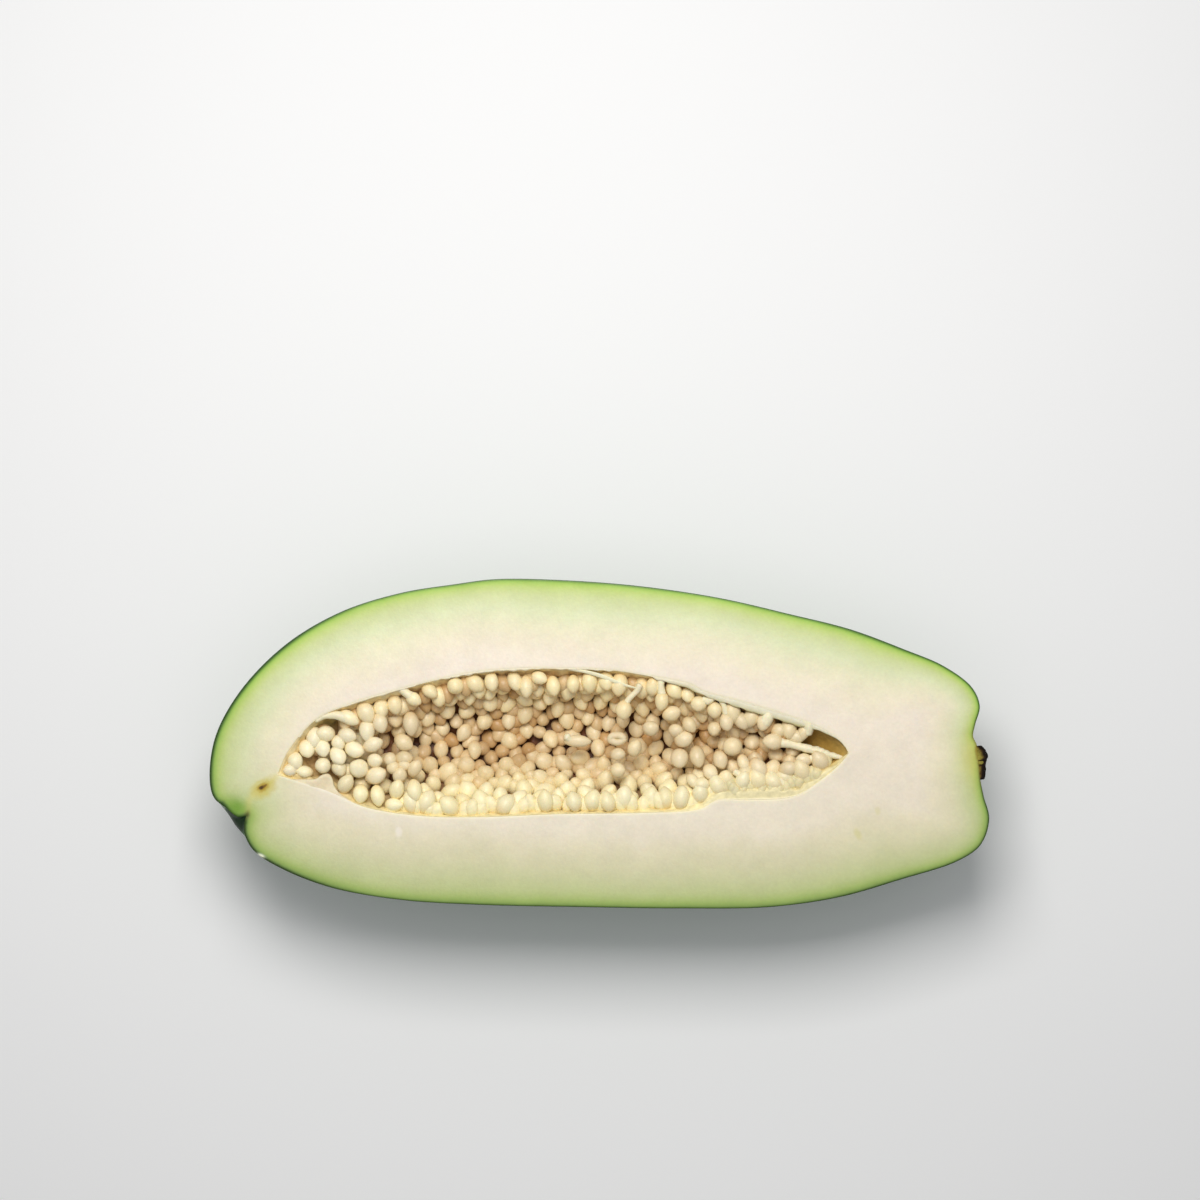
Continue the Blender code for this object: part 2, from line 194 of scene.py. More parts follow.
def half_rings(upper, lower, shares, sides, inset=None, section=None, shelf=False):
    """Half rings slung under the cut face, from the upper edge to the lower one."""
    shares = np.asarray(shares, float)
    angles = half_turn(sides)
    top, bottom = along(upper, shares), along(lower, shares)
    middle, chord = (top + bottom) / 2.0, (top - bottom) / 2.0
    half = norm(chord, axis=1)
    kept = half if inset is None else inset(half)
    chord = chord * (kept / np.maximum(half, TINY))[:, None]
    reach = np.ones((len(shares), len(angles))) if section is None else section(shares, angles)
    sling = np.sin(angles)[None, :] * np.ones((len(shares), 1))
    if shelf:
        near = bell((shares - SHELF_CENTRE) / SHELF_REACH)
        low_side = rise(angles, math.pi / 2, math.pi)
        power = 1.0 + SHELF_STEEPNESS * near[:, None] * np.sqrt(low_side)[None, :]
        sling = unit(sling) ** power
    rings = np.empty((len(shares), len(angles), 3))
    sideways = np.cos(angles)[None, :, None] * reach[:, :, None]
    rings[:, :, :2] = middle[:, None, :] + chord[:, None, :] * sideways
    rings[:, :, 2] = -ROUNDNESS * kept[:, None] * sling * reach
    return rings


def move_back(rings, shares, by, peak, before, after):
    """Shifts the rings' lower parts near one place along the fruit."""
    past = np.asarray(shares) - peak
    reach = np.where(past < 0.0, before, after)
    angles = np.linspace(0.0, math.pi, rings.shape[1])
    weight = bell(past / reach)[:, None] * np.sin(angles) ** 2
    rings[:, :, :2] += weight[:, :, None] * np.array(by)


def cavity_rings(shares, sides, inset=None):
    """Half rings of the cavity's wall, with its shelf at the stem end."""
    return half_rings(CAVITY_UPPER, CAVITY_LOWER, shares, sides, inset=inset, shelf=True)


def grid_cross(grid):
    """At each point of a grid, the cross product of its steps along the rows and columns."""
    return np.cross(np.gradient(grid, axis=0), np.gradient(grid, axis=1))


def normals_of(grid):
    """The unit normal at each point of a grid, towards the side its rows and columns show."""
    normals = grid_cross(grid)
    return normals / np.maximum(norm(normals, axis=2), TINY)[:, :, None]


def grid_faces(rows, columns, first=0, flip=False):
    """Quads over a grid of points; flip turns them over."""
    a = (np.arange(rows - 1)[:, None] * columns + np.arange(columns - 1)[None, :]).ravel() + first
    quads = np.column_stack([a, a + 1, a + columns + 1, a + columns])
    return quads[:, ::-1] if flip else quads


def grid_part(grid, tint, flip=False):
    """The points, faces and tint of a grid."""
    faces = grid_faces(*grid.shape[:2], flip=flip)
    return grid.reshape(-1, 3), faces, tint.reshape(-1, 3)


def slab(top, thickness, walled, flip=False):
    """A grid of points over a copy of itself, with walls between them down some columns."""
    rows, columns = top.shape[:2]
    count = rows * columns
    faces = grid_faces(rows, columns, flip=flip).tolist()
    faces += grid_faces(rows, columns, count, flip=not flip).tolist()
    for i in range(rows - 1):
        for j in walled:
            a, b = i * columns + j, (i + 1) * columns + j
            quad = (a, b, b + count, a + count)
            faces.append(quad if j else quad[::-1])
    under = top - (0.0, 0.0, thickness)
    return np.vstack([top.reshape(-1, 3), under.reshape(-1, 3)]), faces


def distance_to(points, line, chunk=6000):
    """Distance of each 2-D point from a dense line of points joined by segments."""
    a, b = line[:-1], line[1:]
    along_ab = b - a
    length2 = np.maximum((along_ab**2).sum(axis=1), 1e-12)
    out = np.empty(len(points))
    for start in range(0, len(points), chunk):
        p = points[start:start + chunk, None, :]
        share = unit(((p - a) * along_ab).sum(axis=2) / length2)
        gap = p - (a + share[:, :, None] * along_ab)
        out[start:start + chunk] = np.sqrt((gap**2).sum(axis=2).min(axis=1))
    return out


def tube(path, radii, steps=None, sides=12):
    """A bent tapered rod with rounded ends: points and faces."""
    path, radii = np.asarray(path, float), np.asarray(radii, float)
    if steps:
        path = smooth_path(path, steps)
        at = np.linspace(0.0, 1.0, len(path))
        radii = np.interp(at, np.linspace(0.0, 1.0, len(radii)), radii)
    way = np.gradient(path, axis=0)
    way /= np.maximum(norm(way, axis=1), TINY)[:, None]
    side = np.cross(way, (0.0, 0.0, 1.0))
    steep = norm(side, axis=1) < 0.15
    side[steep] = np.cross(way[steep], (0.0, 1.0, 0.0))
    side /= norm(side, axis=1)[:, None]
    up = np.cross(side, way)
    turn = np.linspace(0.0, 2.0 * math.pi, sides, endpoint=False)[None, :, None]
    ring = side[:, None, :] * np.cos(turn) + up[:, None, :] * np.sin(turn)
    points = (path[:, None, :] + ring * radii[:, None, None]).reshape(-1, 3)
    ends = np.array([path[0] - way[0] * radii[0] * 0.6, path[-1] + way[-1] * radii[-1] * 0.6])
    faces, rows = [], len(path)
    following = [(j + 1) % sides for j in range(sides)]
    for i in range(rows - 1):
        a, b = i * sides, (i + 1) * sides
        faces += [(a + j, a + k, b + k, b + j) for j, k in enumerate(following)]
    last = (rows - 1) * sides
    for j, k in enumerate(following):
        faces.append((rows * sides, k, j))
        faces.append((rows * sides + 1, last + j, last + k))
    return np.vstack([points, ends]), faces


# Places read off the picture

PHOTO_CENTRE = (599.5, 743.5)
MM_PER_PIXEL = 0.36


def in_photo(x, y):
    """A place on the cut face, in millimetres, from 1/1200ths of the picture's width."""
    return (x - PHOTO_CENTRE[0]) * MM_PER_PIXEL, (PHOTO_CENTRE[1] - y) * MM_PER_PIXEL


def under_face(at, depth):
    """The point below a place in the picture."""
    x, y = in_photo(*at)
    return np.array([x, y, -depth])


def route(places):
    """Points below the cut face, from (place in the picture, depth) each."""
    return np.array([under_face(at, depth) for at, depth in places])


# Colours

def linear(colour):
    """sRGB from 0 to 255 as linear light."""
    c = np.asarray(colour, float) / 255.0
    return np.where(c <= 0.04045, c / 12.92, ((c + 0.055) / 1.055) ** 2.4)


def ramp(values, stops):
    """Colour along stops of (value, sRGB), mixed in linear light."""
    at = [s[0] for s in stops]
    colours = linear([s[1] for s in stops])
    return np.stack([np.interp(values, at, colours[:, k]) for k in range(3)], axis=-1)


def mix(base, colour, share):
    """The base with a share of another colour over it, both in linear light."""
    share = unit(share)[..., None]
    return base * (1.0 - share) + colour * share


def painted(base, *coats):
    """The base under coats of (sRGB colour, share), one after another."""
    for colour, share in coats:
        base = mix(base, linear(colour), share)
    return base


def spot(points, centre, across, up, turn=0.0):
    """A soft round mask: 1 at the centre, fading over the two radii."""
    offset = points[..., :2] - np.array(centre)
    c, s = math.cos(turn), math.sin(turn)
    x = offset[..., 0] * c + offset[..., 1] * s
    y = -offset[..., 0] * s + offset[..., 1] * c
    return np.exp(-((x / across) ** 2) - (y / up) ** 2)


# Making pieces

def joined(parts):
    """Several (points, faces, tint) as one."""
    points, faces, tints, first = [], [], [], 0
    for p, f, t in parts:
        points.append(p)
        tints.append(np.broadcast_to(t, p.shape))
        faces += [[int(i) + first for i in face] for face in f]
        first += len(p)
    return np.vstack(points), faces, np.vstack(tints)


def add_piece(name, parts, finishes, zones=None, closed=False):
    """A mesh object of (points, faces, tint) parts. A closed one's faces are turned outwards."""
    points, faces, tint = joined(parts)
    mesh = bpy.data.meshes.new(name)
    mesh.from_pydata(((points + (0.0, 0.0, CUT_HEIGHT)) * MM).tolist(), [], faces)
    for one in finishes:
        mesh.materials.append(one)
    if zones is not None:
        mesh.polygons.foreach_set("material_index", np.asarray(zones, np.int32))
    layer = mesh.attributes.new("tint", "FLOAT_COLOR", "POINT")
    rgba = np.ones((len(points), 4), np.float32)
    rgba[:, :3] = tint
    layer.data.foreach_set("color", rgba.ravel())
    mesh.validate()
    if closed:
        bm = bmesh.new()
        bm.from_mesh(mesh)
        bmesh.ops.recalc_face_normals(bm, faces=bm.faces[:])
        bm.to_mesh(mesh)
        bm.free()
    mesh.shade_smooth()
    obj = bpy.data.objects.new(name, mesh)
    bpy.context.scene.collection.objects.link(obj)
    return obj


# Materials

COAT_ROUGHNESS = 0.25
MARK_DEPTH, MARK_UNEVENNESS, MARK_CORE, MARK_EDGE = 8.0, 0.45, 0.35, 1.25
NOISE_LOW, NOISE_HIGH = 0.25, 0.75


def add_node(tree, kind, inputs, **options):
    """A shader node. Each input is a value, or another node's output to link."""
    node = tree.nodes.new("ShaderNode" + kind)
    for name, value in options.items():
        setattr(node, name, value)
    for name, value in inputs.items():
        if isinstance(value, bpy.types.NodeSocket):
            tree.links.new(value, node.inputs[name])
        else:
            node.inputs[name].default_value = value
    return node


def marked(tree, colour, place, mark):
    """The colour with one soft uneven mark on it.

    A mark is its middle in the cut face, its two radii, its turn, its colour and its strength.
    """
    middle, radii, turn, shade, strength = mark
    local = add_node(tree, "Mapping", {
        "Vector": place,
        "Location": (middle[0] * MM, middle[1] * MM, CUT_HEIGHT * MM),
        "Rotation": (0.0, 0.0, turn),
        "Scale": (radii[0] * MM, radii[1] * MM, MARK_DEPTH * MM),
    }, vector_type="TEXTURE").outputs["Vector"]
    ragged = add_node(tree, "TexNoise", {"Vector": local, "Scale": 1.4, "Detail": 3.0})
    mean = np.array([MARK_UNEVENNESS, MARK_UNEVENNESS, 0.0])
    shifted = add_node(tree, "VectorMath", {
        0: ragged.outputs["Color"], 1: 2.0 * mean, 2: local}, operation="MULTIPLY_ADD")
    centred = add_node(tree, "VectorMath", {
        0: shifted.outputs["Vector"], 1: mean}, operation="SUBTRACT")
    reach = add_node(tree, "VectorMath", {0: centred.outputs["Vector"]}, operation="LENGTH")
    share = add_node(tree, "MapRange", {
        "Value": reach.outputs["Value"], "From Min": MARK_CORE, "From Max": MARK_EDGE,
        "To Min": strength, "To Max": 0.0}, interpolation_type="SMOOTHSTEP")
    blend = add_node(tree, "Mix", {
        "Factor": share.outputs["Result"], "A": colour, "B": (*linear(shade), 1.0),
    }, data_type="RGBA")
    return blend.outputs["Result"]


def material(name, roughness, specular=0.5, coat=0.0, subsurface=0.0, radius=(1.0, 0.6, 0.3),
             reach=1.5, noise=(), bump=(), marks=()):
    """A finish whose colour is the mesh's tint, broken up by noise, with a fine relief.

    noise and bump are lists of (features per metre, strength, detail); a bump's strength is
    its height.
    """
    made = bpy.data.materials.new(name)
    made.use_nodes = True
    tree = made.node_tree
    shader = tree.nodes["Principled BSDF"]
    for socket, value in (
        ("Roughness", roughness), ("Specular IOR Level", specular), ("Coat Weight", coat),
        ("Coat Roughness", COAT_ROUGHNESS), ("Subsurface Weight", subsurface),
        ("Subsurface Radius", radius), ("Subsurface Scale", reach * MM),
    ):
        shader.inputs[socket].default_value = value
    place = add_node(tree, "TexCoord", {}).outputs["Object"]
    colour = add_node(tree, "Attribute", {}, attribute_name="tint").outputs["Color"]

    def texture(frequency, detail):
        values = {"Vector": place, "Scale": frequency, "Detail": detail}
        return add_node(tree, "TexNoise", values).outputs["Fac"]

    for frequency, strength, detail in noise:
        level = add_node(tree, "MapRange", {
            "Value": texture(frequency, detail), "From Min": NOISE_LOW,
            "From Max": NOISE_HIGH, "To Min": 1.0 - strength, "To Max": 1.0 + strength})
        colour = add_node(tree, "VectorMath", {
            0: colour, "Scale": level.outputs["Result"]}, operation="SCALE").outputs["Vector"]
    for mark in marks:
        colour = marked(tree, colour, place, mark)
    tree.links.new(colour, shader.inputs["Base Color"])
    earlier = {}
    for frequency, height, detail in bump:
        relief = add_node(tree, "Bump", {
            "Height": texture(frequency, detail), "Distance": height * MM, "Strength": 1.0,
            **earlier})
        earlier = {"Normal": relief.outputs["Normal"]}
    tree.links.new(earlier["Normal"], shader.inputs["Normal"])
    return made


# Marks on the cut face, as marked() takes them: the dark bruise by the cleft in its yellow
# halo, a blot of dried latex, two faint yellow marks and the stalk's stain
CUT_MARKS = (
    (in_photo(263.5, 788), (5.6, 3.6), 0.5, (208, 194, 96), 0.85),
    (in_photo(263, 787), (2.7, 1.6), 0.5, (178, 146, 36), 0.95),
    (in_photo(261.6, 787.5), (1.25, 0.75), 0.45, (78, 50, 0), 1.0),
    (in_photo(264.8, 785.8), (1.1, 0.45), 0.6, (118, 84, 4), 0.9),
    (in_photo(399, 832), (1.5, 2.0), 0.0, (244, 236, 220), 0.8),
    (in_photo(858, 834), (1.4, 2.4), 0.5, (216, 208, 140), 0.5),
    (in_photo(878, 811), (1.2, 1.6), 0.2, (216, 210, 150), 0.4),
    (in_photo(979, 752), (1.6, 3.0), 0.1, (150, 128, 40), 0.9),
)

CUT_FINISH = material("cut_flesh", 0.42, subsurface=0.12, reach=2.0, specular=0.35,
                      noise=((900.0, 0.035, 3.0), (160.0, 0.03, 2.0)),
                      bump=((1400.0, 0.05, 2.0), (350.0, 0.08, 1.0)), marks=CUT_MARKS)
RIND_NOISE = ((1300.0, 0.16, 4.0), (260.0, 0.12, 2.0))
SKIN_FINISH = material("green_rind", 0.36, coat=0.1, specular=0.4, noise=RIND_NOISE,
                       bump=((900.0, 0.06, 3.0), (160.0, 0.12, 1.0)))
DIMPLE_FINISH = material("blossom_dimple", 0.6, specular=0.22, noise=RIND_NOISE,
                         bump=((900.0, 0.1, 3.0),))
WALL_FINISH = material("cavity_wall", 0.45, subsurface=0.1, specular=0.25,
                       noise=((500.0, 0.08, 3.0),), bump=((400.0, 0.15, 2.0),))
BED_FINISH = material("seed_bed", 0.45, specular=0.3,
                      noise=((420.0, 0.2, 4.0),), bump=((500.0, 0.3, 3.0),))
SEED_FINISH = material("seed_skin", 0.40, subsurface=0.18, radius=(1.0, 0.75, 0.45),
                       reach=1.2, coat=0.08,
                       noise=((2300.0, 0.07, 3.0),), bump=((1800.0, 0.12, 2.0),))
PULP_FINISH = material("pale_pulp", 0.45, subsurface=0.18, reach=1.4, specular=0.3,
                       noise=((800.0, 0.06, 3.0),), bump=((700.0, 0.15, 2.0),))
SCAR_FINISH = material("stalk_wood", 0.75, specular=0.15, noise=((1500.0, 0.35, 4.0),),
                       bump=((1500.0, 0.3, 3.0),))


# Flesh and skin

# Colours of the flesh by its depth under the skin, on its bright upper side and on its lower one,
# which is darker and more olive, partly with painted shade; of the rind by its lightness; and of
# the cavity's wall by its depth under the cut face, darker deep down with painted shade
BRIGHT_BAND = (
    (0.0, (40, 74, 16)), (0.22, (66, 104, 26)), (0.5, (114, 156, 56)), (1.0, (162, 199, 86)),
    (1.8, (184, 211, 106)), (3.0, (199, 216, 130)), (5.4, (212, 221, 160)),
    (10.0, (226, 231, 187)), (15.0, (238, 234, 199)), (22.0, (246, 235, 209)),
    (29.0, (247, 234, 216)), (40.0, (244, 231, 212)),
)
SHADED_BAND = (
    (0.0, (46, 66, 22)), (0.22, (70, 95, 38)), (0.5, (112, 140, 68)), (1.0, (140, 166, 84)),
    (1.8, (158, 182, 98)), (3.0, (176, 193, 118)), (5.4, (193, 202, 142)),
    (10.0, (206, 208, 160)), (15.0, (217, 213, 174)), (22.0, (228, 220, 188)),
    (29.0, (236, 226, 203)), (40.0, (238, 228, 206)),
)
RIND_GREENS = (
    (0.0, (16, 62, 12)), (0.35, (28, 92, 20)), (0.6, (52, 122, 34)), (1.0, (104, 164, 62)),
)
WALL_SHADES = (
    (0.0, (250, 238, 200)), (1.6, (242, 224, 164)), (5.0, (204, 176, 104)),
    (14.0, (170, 126, 70)), (26.0, (130, 80, 44)),
)

# The lines at the cleft: a pale yellow one up to the cavity, and a dark one round its edge, which
# is painted shade where the edge rounds down into the dimple
YELLOW_LINE = np.array([in_photo(*at) for at in (
    (247, 815), (249, 800), (258, 791), (266, 785), (277, 776))])
CLEFT_SHADE_LINE = np.array([in_photo(*at) for at in (
    (222, 803.5), (226, 809), (230, 814.5), (236.7, 818.3), (243.3, 817), (247, 815))])

# Soft stains on the cut face: middle, radii, turn, colour and strength. The green by the cleft
# lies under the dark line. Over it lie the cleft's tip, the nick and the stalk's two stains.
CLEFT_STAIN = (in_photo(237, 807), (4.2, 3.4), -0.5, (112, 156, 44), 0.9)
FACE_STAINS = (
    (in_photo(247.5, 813), (0.7, 1.1), -0.3, (104, 100, 26), 0.6),
    (in_photo(261, 855.4), (1.25, 0.5), -0.4, (238, 242, 216), 1.3),
    (in_photo(974, 757), (5.6, 9.0), 0.0, (206, 198, 104), 0.62),
    (in_photo(980, 757), (1.3, 4.6), 0.1, (152, 148, 64), 0.9),
)

# Soft shapes, as middle, two radii and turn: latex dried on the face, the dimple in the skin
# behind the cleft, and the nick where the skin meets the face
LATEX_SMEARS = ((in_photo(340, 807), 9.0, 2.2, -0.15), (in_photo(398, 824), 1.2, 5.4))
DIMPLE = (in_photo(236, 821), 5.6, 4.6, -0.6)
SKIN_NICK = (in_photo(261.5, 857.0), 1.2, 0.8, -0.5)

# How far the cut face's rows of points lie from the skin, and then from the cavity's rim
SKIN_ROWS = (0.0, 0.15, 0.3, 0.5, 0.75, 1.05, 1.4, 1.8, 2.3, 2.9, 3.6, 4.4, 5.3)
RIM_ROWS = (1.6, 0.9, 0.45, 0.2, 0.0)


def stained(tint, points, stain):
    """The tint of these points with one soft stain over it."""
    middle, radii, turn, colour, strength = stain
    return painted(tint, (colour, strength * spot(points, middle, *radii, turn)))


def cut_colours(points, from_skin, from_rim):
    """The flesh's colour: green under the skin, then pale green, cream by the cavity."""
    x, y, flat = points[:, 0], points[:, 1], points[:, :2]
    spread = 1.0 + 0.10 * wobble(flat, 60.0, 11) + 0.05 * wobble(flat, 14.0, 12)
    spread = spread * (1.0 + 0.6 * rise(x, 100.0, 130.0))
    rind = 0.35 * rise(x, 62.0, 102.0) + 0.62 * rise(x, -82.0, -112.0)
    depth = np.maximum(from_skin - rind * (1.0 - np.exp(-from_skin / 0.5)), 0.0) * spread
    # painted shade: the lower side's flesh is darker, as well as more olive, than the upper side's
    tint = mix(ramp(depth, SHADED_BAND), ramp(depth, BRIGHT_BAND), rise(y, -38.0, 22.0))
    tint = tint * (1.0 + 0.022 * wobble(flat, 30.0, 13))[:, None]
    tint = painted(tint, ((222, 210, 130), 0.5 * bell(distance_to(flat, YELLOW_LINE) / 1.3)))
    tint = stained(tint, points, CLEFT_STAIN)
    # painted shade: dark green along the cleft's edge, where it rounds down into the dimple
    tint = painted(tint, ((34, 66, 18), 0.9 * bell(distance_to(flat, CLEFT_SHADE_LINE) / 0.95)))
    for stain in FACE_STAINS:
        tint = stained(tint, points, stain)
    smear = 0.85 * rise(y, -20.0, -23.0) * bell(from_rim / 4.5)
    for shape in LATEX_SMEARS:
        smear = np.maximum(smear, spot(points, *shape))
    patchy = 0.75 + 0.25 * wobble(flat, 6.0, 14)
    # the cavity's rim has a pale yellow line, except along the torn sheet
    lined = 1.0 - rise(x, -86.0, -91.0) * (y < -11.0)
    return painted(tint, ((243, 233, 213), 0.8 * smear * patchy),
                   ((246, 235, 195), 0.6 * lined * bell(from_rim / 0.7)))


def cut_face():
    """The cut face as rows of points from the skin to the cavity's rim."""
    shares = stations(RIM_STEPS)
    between = np.linspace(0.0, 1.0, 24)[1:-1]
    points, faces, first = [], [], 0
    for outer, inner, turned in ((UPPER, CAVITY_UPPER, False), (LOWER, CAVITY_LOWER, True)):
        a, b = along(outer, shares), along(inner, shares)
        length = norm(b - a, axis=1)
        steps = [np.minimum(d / length, 0.9) for d in SKIN_ROWS]
        last_skin, first_rim = SKIN_ROWS[-1] / length, 1.0 - RIM_ROWS[0] / length
        steps += [last_skin + (first_rim - last_skin) * s for s in between]
        steps += [1.0 - d / length for d in RIM_ROWS]
        t = np.array(steps).T
        grid = np.zeros((*t.shape, 3))
        grid[:, :, :2] = a[:, None, :] + (b - a)[:, None, :] * t[:, :, None]
        points.append(grid.reshape(-1, 3))
        faces.append(grid_faces(*t.shape, first, flip=turned))
        first += t.size
    points, faces = np.vstack(points), np.vstack(faces)
    outline = np.vstack([UPPER, LOWER[::-1]])
    rim_line = np.vstack([CAVITY_UPPER, CAVITY_LOWER[::-1]])
    from_skin = distance_to(points[:, :2], outline[::6])
    from_rim = distance_to(points[:, :2], rim_line[::6])
    tint = cut_colours(points, from_skin, from_rim)
    # both edges are rounded off, and the cut between them is faintly uneven
    points[:, 2] -= EDGE_DROP * bell(from_rim / 0.3)
    points[:, 2] -= EDGE_DROP * bell(from_skin / 0.25)
    uneven = 0.05 * wobble(points[:, :2], 25.0, 15) * rise(from_skin, 0.0, 3.0)
    points[:, 2] += uneven * rise(from_rim, 0.0, 2.0) - 0.05
    return points, faces, tint


def skin():
    """The rind, ribbed and streaked, with a flat spot, and which of its faces are dimple."""
    shares, sides = stations(RIM_STEPS), 90
    rings = half_rings(UPPER, LOWER, shares, sides, section=flesh_section)
    move_back(rings, shares, **LOBE_SWELL)
    move_back(rings, shares, **STEM_TUCK)
    angles = half_turn(sides)
    from_pole = np.minimum(shares, 1.0 - shares)[:, None]
    calm = np.sin(angles) ** 2 / (np.sin(angles) ** 2 + 0.02)
    dents = 0.22 * wobble(rings, 45.0, 21) + 0.08 * wobble(rings, 12.0, 22)
    dents = np.abs(dents) * calm[None, :] * rise(from_pole, 0.0, 0.03)
    rings = rings + normals_of(rings) * dents[:, :, None]
    rings[:, (0, -1), 2] = SEAM_LEVEL
    rings[:, :, 2] = np.maximum(rings[:, :, 2], -CUT_HEIGHT)
    lengthwise = np.stack(
        [rings[:, :, 0] / 26.0, np.broadcast_to(angles * 9.0, rings.shape[:2])], axis=-1)
    streak = 0.6 * wobble(lengthwise, 3.0, 23) + 0.4 * wobble(lengthwise * [2.2, 2.6], 3.0, 24)
    level = 0.45 + 0.16 * streak + 0.08 * np.cos(RIBS * angles)[None, :]
    dimple = spot(rings, *DIMPLE) * rise(rings[:, :, 2], -32.0, -14.0)
    nick = spot(rings, *SKIN_NICK) * (rings[:, :, 2] > -1.6)
    # darker at both ends of the fruit; painted shade in the dimple's hollow behind the cleft; the
    # pale nick
    tint = painted(ramp(level, RIND_GREENS), ((20, 46, 16), 0.5 * bell(from_pole / 0.02)),
                   ((26, 50, 26), 0.95 * unit(1.5 * dimple)), ((226, 232, 196), 1.4 * nick))
    part = grid_part(rings, tint, flip=True)
    return part, dimple.ravel()[part[1]].mean(axis=1) > 0.3


def cavity_wall():
    """The wall behind the seeds: smooth, pale at its rims and darker deep down with painted shade.
    """
    shares, sides = stations(RIM_STEPS), 34
    rings = cavity_rings(shares, sides)
    rings[:, (0, -1), 2] = SEAM_LEVEL
    # painted shade: the wall darkens with its depth under the cut face
    return grid_part(rings, ramp(-rings[:, :, 2], WALL_SHADES))


def make_flesh():
    """The cut face, the skin and the cavity's wall as one piece."""
    outside, in_dimple = skin()
    parts = [cut_face(), outside, cavity_wall()]
    zones = np.concatenate([np.full(len(p[1]), k) for k, p in enumerate(parts)])
    zones[zones == 1] += 2 * in_dimple
    finishes = (CUT_FINISH, SKIN_FINISH, WALL_FINISH, DIMPLE_FINISH)
    flesh = add_piece("papaya_flesh", parts, finishes, zones)
    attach(flesh, "root")
    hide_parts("flesh")


# Seeds

SEED_LENGTH, SEED_WIDTH = 7.3, 5.4
WALL_GAP = 0.3
SPACING = 0.90
HIGHEST_MIDDLE = -1.9
HIGHEST_TOP, HIGHEST_TOP_BY_RIM, RIM_BAND = 0.45, -0.75, 5.0

# The two layers of seeds: how far their middles lie off the wall, at the bottom and by the
# rims, how many there are, how often they are evened out, and how much painted shade darkens them
TOP_LAYER = (6.8, 3.0, 206, 5, 0.0)
UNDER_LAYER = (4.0, 2.0, 320, 1, 1.0)

# The torn sheet's upper edge, as places along X and their Y, and how far seeds stay off it
SHEET_EDGE = ((-116.0, -103.0, -99.0, -95.0, -91.5, -88.5),
              (-12.3, -12.8, -11.5, -14.5, -18.5, -21.5))
SHEET_MARGIN = 2.2

# Dark gaps between the seeds, where none lies on top: where in the picture, radius in mm
PITS = (
    ((389, 746), 2.9), ((417, 741), 2.3), ((444, 742), 2.5), ((450, 755), 2.2), ((423, 711), 2.2),
    ((453, 708), 2.2), ((498, 714), 2.4), ((548, 719), 2.5), ((492, 746), 2.3), ((528, 748), 2.2),
    ((577, 731), 2.3), ((648, 747), 2.6), ((671, 780), 2.5), ((705, 738), 2.4), ((710, 755), 2.0),
    ((757, 733), 2.4), ((520, 762), 2.0), ((600, 758), 2.0),
)

